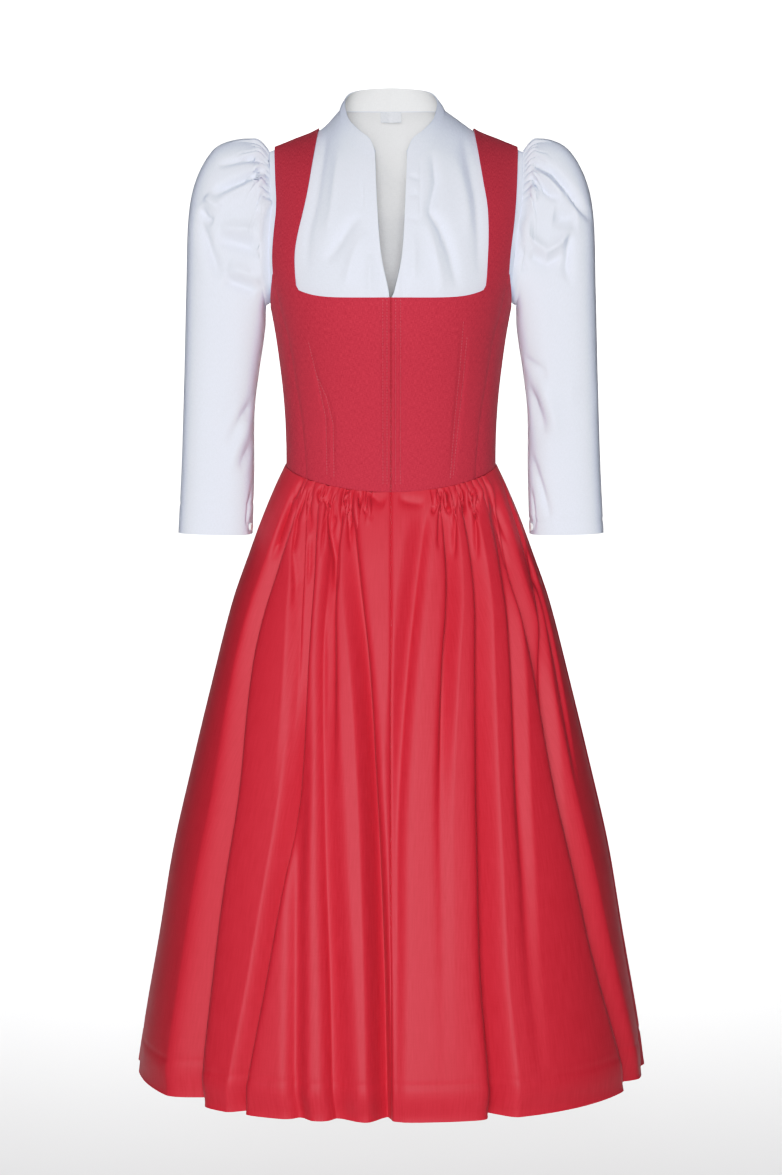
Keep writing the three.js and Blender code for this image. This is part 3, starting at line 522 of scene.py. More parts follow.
SLEEVE_CREASES = {
    "right": (
        (10.1, 4, ((-147.8, -36.8), (-173.1, -51.6), (-205.3, -69.7))),
        (-5.4, 5.8, ((-150, -48), (-175, -62), (-200, -78))),
        (5.4, 3.6, ((-200.5, -35.7), (-170.7, -26.6), (-140.9, -30))),
        (-6.4, 5, ((-213.3, -70.9), (-203.1, -80), (-193.9, -84.5))),
        (8.3, 4.3, ((-219.2, -84.5), (-213.5, -93.6), (-203.2, -99.3))),
        (7.4, 6.5, ((-220.4, -94.8), (-209.1, -128.9), (-195.5, -166.6))),
        (-6.4, 6.5, ((-195.2, -107.3), (-171.1, -108.4), (-148.1, -111.8))),
        (9.1, 7.2, ((-201, -118.7), (-173.5, -125.5), (-148.2, -134.6))),
        (-6.4, 7.9, ((-187.4, -152.9), (-166.7, -157.4), (-148.4, -166.6))),
        (8.3, 5.8, ((-192.1, -165.4), (-173.7, -172.3), (-155.3, -179.2))),
        (-5.4, 4.3, ((-143.4, -74.3), (-154.9, -87.9))),
        (3.8, 1.5, ((-161.2, -400), (-164.7, -424), (-168, -450))),
        (2.4, 1.3, ((-161.2, -400), (-160, -430), (-161, -445))),
        (5.9, 5.8, ((-158.2, -303.1), (-173.4, -329.6), (-188.6, -356.2))),
        (2.7, 4.3, ((-179, -308.9), (-190.7, -321.5), (-203.4, -333.1))),
        (4, 4.3, ((-158.5, -351.6), (-167.8, -367.7), (-176, -382.8))),
        (-3.4, 6.5, ((-163, -325), (-178, -355), (-186, -385))),
    ),
    "left": (
        (9.1, 4.3, ((153.5, -30), (183.4, -42.5), (204.1, -64.1), (216.8, -81.1), (233, -98.2))),
        (7.4, 3.6, ((151.3, -44.8), (161.6, -55), (177.8, -68.6), (195, -74.3))),
        (-5.4, 4.3, ((157, -40), (177, -52), (198, -70))),
        (-5.4, 3.6, ((157.1, -56.1), (160.6, -77.7))),
        (8.3, 7.9, ((183.6, -94.8), (200, -96.5), (213.5, -94.8))),
        (-7.4, 5, ((144.6, -94.8), (157.4, -119.8), (178.1, -133.5), (195.3, -123.2), (206.7, -105))),
        (6.4, 6.5, ((158, -135), (178, -149), (197, -138))),
        (6.4, 5, ((205.6, -111.8), (201.2, -152.9), (207, -170))),
        (6.4, 4.3, ((148.2, -130.1), (153, -159.7))),
        (5.4, 4.3, ((152.2, -255.9), (166.1, -265.1), (181.2, -275.5))),
        (7.4, 7.2, ((155.8, -285.8), (167.5, -315.8), (179.2, -343.5))),
        (5.1, 4.3, ((159.7, -363.1), (172.6, -402.5), (185.6, -441.9))),
        (-3.7, 8.6, ((170, -280), (185, -315), (195, -350))),
        (3.5, 1.5, ((162.8, -405), (165.5, -430), (167, -456))),
        (2.7, 7.2, ((209, -296.2), (239, -296.2))),
    ),
}
CUFF_SEAM = {"left": -0.4442, "right": -0.424}  # where the turned-up lower edge is stitched
CUFF_GROOVE = {"deep": 0.001, "wide": 0.0018}


def rounded(turn, squareness):
    """Distance of a rounded square of size 1 from its centre, in the direction turn."""
    return (np.abs(np.sin(turn)) ** squareness + np.abs(np.cos(turn)) ** squareness) ** (-1 / squareness)


def armhole_seam(turn, out):
    """Armhole seam of the blouse, round from the top (0) by the front (90) and the foot (180)."""
    top = read(SHOULDER, "x", BLOUSE_SHOULDER, "z") + out
    foot = read(TORSO, "z", BLOUSE_UNDERARM, "half") + out
    up = (1 + np.cos(np.radians(turn))) / 2
    z = mix(BLOUSE_UNDERARM - UNDER_BODICE - out, top, up)
    x = mix(foot, BLOUSE_SHOULDER, up)
    forward = turn % 360 < 180
    return x, np.where(forward, torso_depth(x, z, out, -1), torso_depth(x, z, out, 1)), z


def sleeve_section(row, turn, inwards):
    """Points of a left sleeve at turn degrees round from the outer side by the front."""
    part = {name: read(SLEEVE, "row", row, name) for name in SLEEVE if name != "row"}
    forward = turn % 360 < 180
    deep = np.where(forward, part["front"], part["back"]) - inwards
    across_x, across_z = part["out_x"] - part["in_x"], part["out_z"] - part["in_z"]
    wide = np.hypot(across_x, across_z)
    long = wide / 2 - inwards
    way = np.radians(turn)
    shape = rounded(way, SLEEVE_SQUARENESS)
    at_front, at_back = (armhole_seam(np.array(at), -UNDER_BODICE)[1] for at in (90.0, 270.0))
    fullest = np.where(forward, at_front, at_back)
    seam_shape = armhole_seam(turn, -UNDER_BODICE)[1] / fullest
    aside = deep * mix(shape * np.abs(np.sin(way)), seam_shape, part["armhole"])
    length = long * mix(shape, 1, part["armhole"]) * np.cos(way)
    x = (part["in_x"] + part["out_x"]) / 2 + across_x / wide * length
    z = (part["in_z"] + part["out_z"]) / 2 + across_z / wide * length
    return np.stack([x, np.where(forward, -aside, aside), z], -1)


def sleeve_grid(columns, rows):
    """Points of a left sleeve, with the gathers of its head."""
    count, reach = HEAD_GATHERS["count"], HEAD_GATHERS["reach"]
    place = np.arange(columns) / columns
    gathered = 1 - PLAIN_SHARE
    start = np.where(
        place < gathered,
        mix(-reach, reach, place / gathered),
        mix(reach, 360 - reach, (place - gathered) / PLAIN_SHARE),
    )
    even = 360 * (place - gathered / 2)
    head, arm, cuff = rows
    row = np.linspace(0, 4, head, endpoint=False)
    row = np.append(row, np.linspace(4, 9, arm, endpoint=False))
    row = np.append(row, np.linspace(9, 10, cuff))[:, None]
    turn = (mix(start, even, ease(row, 1, 6)) + 360) % 360
    gather = place / gathered * count
    which = np.floor(gather)
    lobe = np.abs(np.sin(np.pi * gather)) ** 0.7 * 1.6 - 0.8
    size = HEAD_GATHERS["deep"] * (0.85 + 0.35 * np.sin(which * 2.4))
    run = 2.6 + 0.9 * np.sin(which * 4.1 + 1)
    crest = np.where(place < gathered, lobe * size, 0) * (1 - ease(row, 0.6, run))
    blend = HEAD_GATHERS["rows"]
    hanging = sleeve_section(np.maximum(row, blend), turn, -crest)
    seam_x, seam_y, seam_z = armhole_seam(turn[:1], -UNDER_BODICE)
    middle = (armhole_seam(np.array(0.0), 0)[2] + BLOUSE_UNDERARM) / 2
    grown = 1 + 0.4 * crest[:1] / 0.09
    seam = np.stack([seam_x, seam_y * grown, middle + (seam_z - middle) * grown], -1)
    share = np.minimum(row / blend, 1)
    full = 1 - (1 - share) ** 1.7
    return mix(seam, hanging, np.stack([share, full, full], -1))


sleeve_form = sleeve_grid(columns=210, rows=(52, 58, 26))
for side, hand in (("left", 1), ("right", -1)):
    other = "right" if side == "left" else "left"
    grid = sleeve_form * (hand, 1, 1)
    middle = grid.mean(1, keepdims=True)
    behind = [(deep, wide, [(-x, z) for x, z in line]) for deep, wide, line in SLEEVE_CREASES[other]]
    grid = creased(grid, SLEEVE_CREASES[side], middle, wraps=True)
    grid = creased(grid, behind, middle, wraps=True, facing=1)
    normals, _ = facing_out(grid, middle, wraps=True)
    below = grid[..., 2] - CUFF_SEAM[side]
    grid -= (CUFF_GROOVE["deep"] * np.exp(-((below / CUFF_GROOVE["wide"]) ** 2)))[..., None] * normals
    from_button = np.linalg.norm(grid - np.array(BUTTON_SEAT["place"]) * (hand, 1, 1), axis=-1)
    seat = BUTTON_SEAT["deep"] * np.exp(-((from_button / BUTTON_SEAT["reach"]) ** 2))
    grid -= seat[..., None] * normals
    piece = shell(f"sleeve_poplin_{side}", grid, SLEEVE_CLOTH, poplin, middle=middle, wraps=True)
    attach(piece, "root")
    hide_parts(f"sleeve_{side}")


# Side pieces, backs and fronts of the bodice
# Six pieces of a firm linen on a lining. The straps are cut in one with the fronts and the backs, and
# the front closes edge to edge over a hidden fastening, with two rows of topstitching beside it.
BODICE_CLOTH = 0.0012
SIDE_WAIST = -0.379
WAIST_DIP = 0.029
UNDERARM = -0.199
SEAM_TOP = -0.16
SIDE_FRONT_SEAM = {
    "z": (-0.16, -0.2, -0.235, -0.28, -0.322, -0.379),
    "x": (0.1352, 0.1275, 0.118, 0.111, 0.104, 0.0985),
}
SIDE_BACK_SEAM = {"z": (-0.16, -0.235, -0.3, -0.379), "x": (0.134, 0.119, 0.11, 0.103)}
ARMHOLE_EDGE = {
    "z": (0, -0.054, -0.082, -0.11, -0.137, -0.16),
    "x": (0.142, 0.139, 0.1373, 0.137, 0.1363, 0.1352),
}
FRONT_STRAP_EDGE = {
    "z": (0.012, -0.037, -0.057, -0.093, -0.13, -0.16, -0.18),
    "x": (0.09, 0.097, 0.1, 0.106, 0.11, 0.1095, 0.1075),
}
BACK_STRAP_EDGE = {"z": (0.012, -0.02, -0.05, -0.062, -0.074), "x": (0.09, 0.0935, 0.0977, 0.1025, 0.11)}
HALVES = {
    "front": {
        "facing": -1, "seam": SIDE_FRONT_SEAM, "strap": FRONT_STRAP_EDGE, "neckline": -0.188,
        "corner": 0.009, "yoke_foot": -0.188, "yoke_top": SEAM_TOP, "yoke_steps": 0,
    },
    "back": {
        "facing": 1, "seam": SIDE_BACK_SEAM, "strap": BACK_STRAP_EDGE, "neckline": -0.086,
        "corner": 0.012, "yoke_foot": -0.17, "yoke_top": -0.092, "yoke_steps": 26,
    },
}  # fmt: skip
BODICE_STEPS = {"body": 50, "strap": 20, "seam": 66, "strap_rows": 56}
STRAP_START = 0.8  # share of the half's width where the strap begins
CENTRE_ROLL = {"deep": 0.0024, "wide": 1.1}  # how far the centre edges roll in, and over how many columns
STITCH_GROOVE = {"deep": 0.0018, "wide": 0.0014}
NECKLINE_GROOVE = {"deep": 0.0006, "wide": 0.0014}
NECKLINE = ((0, -0.194), (0.085, -0.193), (0.1035, -0.187))  # x and z of its groove on the left front

# Linen, piece-dyed and plain-woven from slubby yarn: matt, with short uneven threads both ways. The
# weave is drawn coarser than its threads of about 0.6 mm so that it shows.
linen = woven(
    "linen_deep_red",
    ("#9E1E2F", "#C03442"),
    thread=0.0009,
    relief=0.00012,
    slub={"wide": 0.0005, "short": 0.1, "cross": 0.8, "relief": 0.00002},
    shader={
        "Roughness": 0.85,
        "IOR": 1.46,
        "Specular IOR Level": 0.2,
        "Sheen Weight": 0.12,
        "Sheen Roughness": 0.45,
        "Sheen Tint": colour("#F0A0A6"),
    },
)


def waist_height(turn):
    """Height of the waist seam at a turn from the centre front in degrees."""
    return SIDE_WAIST - WAIST_DIP * np.maximum(np.cos(np.radians(turn)), 0) ** 1.6


def turn_of(x, z, facing):
    """Turn from the centre front of a point on the body, in degrees."""
    half = read(TORSO, "z", z, "half")
    deep = read(TORSO, "z", z, "front" if facing < 0 else "back")
    return np.degrees(np.arctan2(np.abs(x) / half, -torso_depth(x, z, 0, facing) / deep))


def bodice_half(half):
    """Points of a left half of the bodice, and the cells that it covers below and in its strap."""
    facing, seam, strap, neckline, corner, yoke_foot, yoke_top, yoke_steps = half.values()
    body_steps, strap_steps, seam_steps, strap_rows = BODICE_STEPS.values()
    inner = STRAP_START * np.linspace(0, 1, body_steps, endpoint=False) ** 1.25
    share = np.append(inner, np.linspace(STRAP_START, 1, strap_steps + 1))

    def outer_edge(z):
        on_seam = read(seam, "z", z, "x") - SEAM_GAP / 2
        return np.where(z > SEAM_TOP, read(ARMHOLE_EDGE, "z", z, "x"), on_seam)

    beside = np.maximum(share - STRAP_START, 0) / (1 - STRAP_START)
    neck = mix(neckline + corner * np.minimum(share / STRAP_START, 1) ** 6, yoke_top, beside)
    level = mix(yoke_foot, SEAM_TOP, share**3) if yoke_steps else neck

    z = np.full((seam_steps + yoke_steps + 1, len(share)), -0.25)
    low = np.arange(seam_steps + yoke_steps + 1)[:, None] <= seam_steps
    up = np.linspace(0, 1, seam_steps + 1)
    up = np.append(up, np.linspace(0, 1, yoke_steps + 1)[1:])[:, None]
    for _ in range(6):
        x = mix(SEAM_GAP / 2, outer_edge(z), share)
        foot = np.full_like(z, SIDE_WAIST)
        for _ in range(4):
            foot = waist_height(turn_of(x, foot, facing))
        z = np.where(low, mix(foot + SEAM_GAP / 2, level, up), mix(level, neck, up))
    body = on_torso(x, z, 0, facing)

    up = np.sin(np.linspace(0, 1, strap_rows + 1)[1:] * np.pi / 2)[:, None]
    z = np.full((strap_rows, len(share)), -0.05)
    past = (share - STRAP_START) / (1 - STRAP_START)
    for _ in range(8):
        x = mix(read(strap, "z", z, "x"), outer_edge(z), past)
        z = mix(neck, read(SHOULDER, "x", x, "z"), up)
    grid = np.concatenate([body, on_torso(x, z, 0, facing)])
    row, column = np.mgrid[0 : len(grid) - 1, 0 : len(share) - 1]
    return grid, (row < seam_steps + yoke_steps) | (column >= body_steps)


def bodice_side(columns, rows):
    """Points of a left side piece, whose top edge is the foot of the armhole."""
    share = np.linspace(0, 1, columns + 1)
    up = np.linspace(0, 1, rows + 1)[:, None]
    z = np.full((rows + 1, columns + 1), -0.3)
    for _ in range(6):
        first = turn_of(read(SIDE_FRONT_SEAM, "z", z, "x") + SEAM_GAP / 2, z, -1)
        final = turn_of(read(SIDE_BACK_SEAM, "z", z, "x") + SEAM_GAP / 2, z, 1)
        turn = mix(first, final, share)
        top = mix(UNDERARM, SEAM_TOP, np.abs(2 * share - 1) ** 2.2)
        z = mix(waist_height(turn) + SEAM_GAP / 2, top, up)
    way = np.radians(turn)
    reach = rounded(way, SQUARENESS)
    deep = np.where(turn < 90, read(TORSO, "z", z, "front"), read(TORSO, "z", z, "back"))
    return np.stack([read(TORSO, "z", z, "half") * reach * np.sin(way), -deep * reach * np.cos(way), z], -1)


def seam_roll(steps, first, last, deep=0.0011, wide=2.2):
    """How far the cloth rolls in towards the seams at the first and the last of its columns."""
    place = np.arange(steps)
    return deep * (first * np.exp(-place / wide) + last * np.exp(-(steps - 1 - place) / wide))


# Rows of topstitching on the fronts, along each boning channel and down beside the front edges, as
# x and z. The two fronts differ, as on the dress.
TOPSTITCHING = {
    "right": (
        ((-0.0935, -0.238), (-0.083, -0.283), (-0.0742, -0.324), (-0.0733, -0.393)),
        ((-0.0842, -0.276), (-0.0735, -0.3), (-0.066, -0.33), (-0.0652, -0.396)),
        ((-0.0045, -0.19), (-0.0045, -0.405)),
        ((-0.0092, -0.19), (-0.0092, -0.405)),
    ),
    "left": (
        ((0.0818, -0.2145), (0.078, -0.27), (0.073, -0.324), (0.0675, -0.396)),
        ((0.086, -0.232), (0.0822, -0.28), (0.0776, -0.324), (0.071, -0.393)),
        ((0.0053, -0.19), (0.0053, -0.405)),
        ((0.0108, -0.19), (0.0108, -0.405)),
    ),
}
THREAD = {"stitch": 0.0026, "gap": 0.0009, "radius": 0.00028, "above": 0.00015}


def along_line(line, step):
    """Points a step apart on a line of points."""
    points = np.array(line, float)
    travelled = np.append(0, np.cumsum(np.linalg.norm(np.diff(points, axis=0), axis=1)))
    at = np.arange(0, travelled[-1], step)
    return np.stack([np.interp(at, travelled, points[:, axis]) for axis in range(points.shape[1])], 1)


def stitch_rows(name, rows, finish):
    """Rows of short stitches, each a small spindle of thread. A row is a line of points in space."""
    ring = 6
    turns = np.arange(ring) * 2 * np.pi / ring
    points, quads = [], []
    for row in rows:
        places = along_line(row, THREAD["stitch"] + THREAD["gap"])
        for here, there in zip(places[:-1], places[1:]):
            way = there - here
            way /= np.linalg.norm(way)
            aside = np.cross(way, (0.0, 1.0, 0.0))
            aside /= np.linalg.norm(aside)
            upright = np.cross(aside, way)
            start = len(points)
            for share, thick in ((0, 0.3), (0.25, 1), (0.75, 1), (1, 0.3)):
                centre = here + way * THREAD["stitch"] * share
                for turn in turns:
                    offset = aside * np.cos(turn) + upright * np.sin(turn)
                    points.append(centre + offset * THREAD["radius"] * thick)
            for band in range(3):
                for i in range(ring):
                    a, b = start + band * ring + i, start + band * ring + (i + 1) % ring
                    quads.append((a, a + ring, b + ring, b))
            quads.append(tuple(range(start, start + ring)))
            quads.append(tuple(range(start + 4 * ring - 1, start + 3 * ring - 1, -1)))
    return surface(name, settled(np.array(points)).tolist(), quads, finish)


def cloudy(name, colours, size, gloss):
    """A finish whose tone varies a little between two colours, in clouds of a size in metres."""
    finish = emptied(bpy.data.materials.new(name))
    place = add_node(finish, "TexCoord", {}).outputs["Object"]
    cloud = add_node(finish, "TexNoise", {"Vector": place, "Scale": 1 / size}).outputs["Fac"]
    shades = {"Factor": cloud, 6: colour(colours[0]), 7: colour(colours[1])}
    tone = add_node(finish, "Mix", shades, data_type="RGBA").outputs[2]
    shader = add_node(finish, "BsdfPrincipled", {"Base Color": tone, **gloss})
    add_node(finish, "OutputMaterial", {"Surface": shader.outputs["BSDF"]})
    return finish


# Polyester sewing thread: spun, with a slight sheen, a touch lighter than the linen. Its tone varies
# over a length coarser than its twist, so that it can show.
thread = cloudy(
    "polyester_thread_red",
    ("#A52C3B", "#BF4653"),
    size=0.0011,
    gloss={"Roughness": 0.5, "IOR": 1.54, "Sheen Weight": 0.2},
)

for side, hand in (("left", 1), ("right", -1)):
    side_form = bodice_side(columns=36, rows=60) * (hand, 1, 1)
    normals, _ = facing_out(side_form, (0, 0, 0))
    below_armhole = 1 - ease(side_form[..., 2], SEAM_TOP - 0.03, SEAM_TOP)
    side_form -= (seam_roll(side_form.shape[1], 1, 1) * below_armhole)[..., None] * normals
    piece = shell(f"bodice_side_linen_{side}", side_form, BODICE_CLOTH, linen)
    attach(piece, "root")
    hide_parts(f"bodice_side_{side}")

    for half, shape in HALVES.items():
        form, covered = bodice_half(shape)
        form = form * (hand, 1, 1)
        normals, _ = facing_out(form, (0, 0, 0))
        below_armhole = 1 - ease(form[:, -1:, 2], SEAM_TOP - 0.03, SEAM_TOP)
        depth = seam_roll(form.shape[1], 1, 0, **CENTRE_ROLL)
        depth = depth + seam_roll(form.shape[1], 0, 1) * below_armhole
        if half == "front":
            for line in TOPSTITCHING[side]:
                depth += crease(form[..., 0], form[..., 2], line, **STITCH_GROOVE)
            neckline = [(hand * x, z) for x, z in NECKLINE]
            depth += crease(form[..., 0], form[..., 2], neckline, **NECKLINE_GROOVE)
        form = form - depth[..., None] * normals
        piece = shell(f"bodice_{half}_linen_{side}", form, BODICE_CLOTH, linen, has=covered)
        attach(piece, "root")
        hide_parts(f"bodice_{half}_{side}")

    rows = []
    for line in TOPSTITCHING[side]:
        flat = along_line(line, 0.004)
        y = torso_depth(flat[:, 0], flat[:, 1], THREAD["above"], -1) - SEAM_GAP / 2
        rows.append(np.stack([flat[:, 0], y, flat[:, 1]], 1))
    topstitching = stitch_rows(f"topstitching_{side}", rows, thread)
    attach(topstitching, "root")


# Skirt
# Four panels of cotton sateen, drawn into small gathers at the waist seam and falling into deep
# folds. The fronts meet in a plain seam, and the hem is turned up and blind-stitched.
SKIRT_CLOTH = 0.0012
HEM_HEIGHT = -1.092
HEM_DEEP = 0.042
HEM_TUCK = 0.011  # how far the heavy hem curls in
HEM_START = 0.92  # share of the way down below which the rows lie closer
HEM_GROOVE = {"deep": 0.0009, "wide": 0.0028}
SKIRT_SEAM = {"deep": 0.0022, "wide": 0.0011}  # how far the panels roll in to their seams
SKIRT = {
    "down": (0, 0.04, 0.09, 0.145, 0.225, 0.36, 0.5, 0.63, 0.77, 0.9, 1),
    "half": (0.124, 0.1375, 0.1525, 0.167, 0.187, 0.212, 0.2365, 0.258, 0.275, 0.2915, 0.303),
    "front": (0.091, 0.103, 0.115, 0.126, 0.142, 0.166, 0.19, 0.213, 0.237, 0.258, 0.272),
    "back": (0.08, 0.097, 0.112, 0.124, 0.141, 0.166, 0.19, 0.212, 0.236, 0.256, 0.27),
}

# Where each panel's columns start at the waist and where they end at the hem, in degrees, and how
# many columns lie in each of its three parts.
FRONT_COLUMNS = {"left": (56, 190, 50), "right": (36, 200, 60)}
BACK_COLUMNS = (10, 132, 6)
PANELS = {
    "skirt_front_left": ((0, 20.7, 59, 92), (0, 8, 66, 92), FRONT_COLUMNS["left"]),
    "skirt_front_right": ((0, -8.8, -48.6, -92), (0, -5, -60, -92), FRONT_COLUMNS["right"]),
    "skirt_back_left": ((92, 102, 177, 180), (92, 100, 177, 180), BACK_COLUMNS),
    "skirt_back_right": ((-92, -102, -177, -180), (-92, -100, -177, -180), BACK_COLUMNS),
}

# Valleys between the gathers at the waist seam, in degrees from the centre front.
GATHERS = (
    -177, -171, -166.5, -160.5, -155, -150, -144, -139.5, -133, -128, -123, -117, -112, -107, -102,
    -48.6, -42.4, -36.3, -31.8, -27.9, -25.3, -22.3, -19.7, -14.7, -12.3, -8.8,
    20.7, 24.8, 28.5, 31.2, 34.9, 37.8, 41.5, 45.8, 50.1, 54.2, 59,
    102, 107.5, 112, 118, 123, 127.5, 133.5, 139, 144, 150, 155.5, 160, 166, 171.5, 177,
)  # fmt: skip
GATHER = {"deep": 0.0075, "full": 0.012, "end": 0.05}

# Folds: the turn of each valley from the centre front in degrees and its depth in mm at these
# heights, then its half width in mm on its right and on its left, each high up and at the hem. The
# narrower side hangs over the valley.
FOLD_HEIGHTS = (-0.4, -0.5, -0.6, -0.75, -0.92, -1.092)
FOLDS = (
    ((-50.5, -51, -51.2, -46, -45.2, -43.6), (4, 18, 22, 22, 32, 50), (10, 50), (6, 7)),
    ((-46, -37.5, -32.5, -30, -29, -29), (4, 11, 8, 0, 0, 0), (8, 8), (4, 4)),
    ((-39.5, -32.5, -28.9, -27, -29.5, -33), (4, 11, 14, 19, 21, 18), (9, 15), (4, 5)),
    ((-33, -30, -28, -25.5, -22.8, -20.5), (0, 0, 0, 8, 8, 11), (6, 8), (8, 14)),
    ((-30, -26.3, -23.2, -18.5, -14.9, -12.3), (6, 11, 10, 9, 13, 14), (4, 9), (9, 24)),
    ((-25.5, -23.4, -19, -16, -14, -12), (6, 9, 5, 0, 0, 0), (7, 7), (4, 4)),
    ((-21.8, -13.7, -7.8, -3.8, -1.8, -0.8), (6, 11, 17, 22, 24, 20), (11, 16), (5, 4)),
    ((19.5, 11, 5.7, 1.9, 1.2, 0.8), (4, 8, 9, 8, 6, 4), (14, 10), (6, 8)),
    ((27, 23.6, 18.1, 13.5, 12, 11), (6, 15, 14, 4, 1, 0), (4, 6), (9, 10)),
    ((37.8, 34.3, 29, 24, 21.3, 21.6), (8, 18, 23, 31, 33, 35), (4, 6), (9, 24)),
    ((54.9, 49, 43.6, 36.5, 33, 33), (4, 9, 12, 8, 3, 0), (7, 8), (8, 12)),
    ((61.3, 54, 53, 51.2, 54.5, 62), (5, 12, 17, 21, 28, 36), (7, 8), (9, 40)),
    ((76, 67, 58.8, 53.5, 54, 59), (3, 8, 9, 4, 0, 0), (4, 6), (8, 8)),
    ((72, 70, 66.5, 60, 58, 58), (0, 3, 7, 0, 0, 0), (5, 5), (6, 6)),
    ((84, 83.5, 83, 82, 81, 80), (0, 3, 4, 5, 7, 9), (10, 16), (12, 22)),
    ((-92, -91, -90, -88, -86, -84), (0, 3, 4, 5, 7, 9), (12, 22), (9, 16)),
    ((104, 103.4, 103, 102, 101.5, 101), (2, 7, 9, 11, 14, 18), (5, 9), (10, 26)),
    ((119, 120, 120.5, 121, 122, 123), (2, 6, 8, 9, 10, 12), (5, 7), (12, 22)),
    ((138, 139.5, 140, 141, 142, 143), (3, 8, 10, 14, 18, 24), (12, 28), (5, 7)),
    ((156, 157, 157.5, 158, 160, 162), (2, 6, 8, 9, 11, 12), (5, 8), (10, 20)),
    ((175, 175.5, 176, 176, 177, 178), (3, 8, 9, 11, 13, 16), (9, 24), (5, 8)),
    ((-163, -163.6, -164, -164, -162.5, -161), (2, 7, 9, 11, 12, 14), (9, 22), (5, 8)),
    ((-146, -145.5, -145, -144, -142.5, -141), (3, 8, 10, 14, 18, 23), (5, 8), (12, 28)),
    ((-127, -126.4, -126, -125, -123.5, -122), (2, 6, 8, 9, 11, 12), (10, 20), (5, 8)),
    ((-110, -108.7, -107.5, -106, -105, -104), (2, 7, 9, 11, 14, 18), (8, 26), (5, 9)),
)

# Small creases below the gathers, seen from the front, as on the blouse.
SKIRT_CREASES = (
    (5.1, 2.8, ((-96.1, -402.2), (-100.7, -416.9), (-107.6, -436.8), (-111, -476))),
    (4.3, 2.5, ((-91.7, -405.2), (-94.7, -421.8), (-93.4, -438.3), (-91.1, -452.6))),
    (5.1, 2, ((-79.8, -401.7), (-83, -409.1), (-80.8, -417.3), (-76.5, -416.1), (-75.5, -404.7))),
    (4.3, 2.5, ((-73.4, -394.1), (-73.6, -421.2), (-76.2, -446), (-79.1, -479))),
    (5.1, 2.8, (
        (-65.9, -404.5), (-71.1, -417), (-69.9, -429.4), (-67.7, -449.9), (-62.2, -482.8),
        (-63.1, -519.7)
    )),
    (4.3, 2.5, ((-61.6, -408.6), (-65.7, -423.1), (-65.1, -454))),
    (5.1, 2, ((-47.8, -400.1), (-53, -419.8), (-51.9, -429.1), (-49.4, -427), (-48.9, -408.4))),
    (4.3, 2.5, ((-47.4, -408.4), (-47.7, -429), (-46.5, -453.7), (-44.7, -474.3))),
    (3.2, 2.5, ((-36.2, -406.3), (-34, -420.7), (-25.5, -433), (-20.2, -437.1))),
    (3.6, 6, ((-27.7, -406.2), (-15, -416.5), (-6.6, -421))),
    (5.8, 3, ((-111.7, -404.1), (-117.7, -429.1), (-127.1, -458.5), (-136.5, -488))),
    (4.3, 2.2, ((-100.5, -392.8), (-107.2, -403.8), (-112.4, -417.5))),
    (2.9, 2, ((-92.7, -458.8), (-92.9, -491.7), (-93.8, -512.3))),
    (4.3, 3, ((-110.2, -451.3), (-112.5, -472), (-109.6, -492.4), (-107.7, -512.8), (-109.1, -539.5))),
    (5.5, 2.2, ((57.6, -405.5), (53.3, -415.7), (49, -427), (45.4, -432.1))),
    (5.5, 2.2, ((63, -406.6), (60.7, -416.9), (66, -429.3), (69.6, -431.8))),
    (4.3, 2.2, ((57.5, -420.9), (56.3, -439.5), (54.1, -470.3))),
    (5.1, 2.8, ((75.4, -402.6), (72.6, -425.3), (71.5, -454.1), (70.9, -482.9))),
    (4.6, 2.2, ((80.1, -404.9), (81, -421.4), (83.6, -432.8))),
    (5.5, 2.2, ((97.5, -405.4), (91.3, -410.4), (90.2, -421.7), (92.7, -427.9))),
    (4.3, 2.5, ((95.1, -415.7), (96.8, -450.7), (97.5, -483.7))),
    (4.3, 2, ((102.1, -414.9), (99.4, -422), (99.9, -430.2))),
    (2.8, 2.8, ((110.8, -399.7), (116.1, -418.8), (125.5, -442), (133.9, -467.3))),
    (2.5, 2.8, ((116.9, -429.1), (120.9, -447.8), (129.2, -473), (133.2, -497.9))),
    (4.3, 2.5, ((158.2, -471.1), (164.7, -499.3), (165.2, -516.2), (174, -519.1))),
    (2.9, 5, ((7.9, -414.8), (20.6, -418.6), (38.5, -421.1))),
)

# Cotton sateen, piece-dyed and mercerised: long floating threads give it a soft satin gloss, with
# fine upright streaks.
sateen = woven(
    "cotton_sateen_red",
    ("#B81A29", "#C12332"),
    thread=0.0008,
    relief=0.00004,
    slub={"wide": 0.0016, "short": 0.06, "cross": 0.3, "relief": 0.00004},
    shader={
        "Roughness": 0.6,
        "IOR": 1.5,
        "Specular IOR Level": 0.3,
        "Sheen Weight": 0.08,
        "Sheen Roughness": 0.4,
        "Sheen Tint": colour("#F0A0A6"),
    },
)


def folded(turn, z, radius):
    """How far the folds draw the cloth in at a turn and a height, and how far they move it round."""
    lower = np.clip((z - FOLD_HEIGHTS[0]) / (FOLD_HEIGHTS[-1] - FOLD_HEIGHTS[0]), 0, 1)
    inwards, onwards = np.zeros(turn.shape), np.zeros(turn.shape)
    for turns, depths, on_right, on_left in FOLDS:
        table = {"z": FOLD_HEIGHTS, "turn": turns, "deep": depths}
        place, deep = read(table, "z", z, "turn"), np.maximum(read(table, "z", z, "deep"), 0) / 1000
        away = np.radians((turn - place + 180) % 360 - 180) * radius
        right, left = mix(*on_right, lower) / 1000, mix(*on_left, lower) / 1000
        wide, other = np.where(away < 0, right, left), np.where(away < 0, left, right)
        steep = wide < other
        share = np.abs(away) / wide
        inwards += deep * np.where(steep, np.exp(-(share**2)), 1 - ease(share, 0, 1.35))
        hangs_over = 0.35 * deep * (1 - wide / other) * share**2 * np.exp(2 - 2 * share)
        onwards -= np.where(steep, np.sign(away) * hangs_over, 0)
    return inwards, onwards


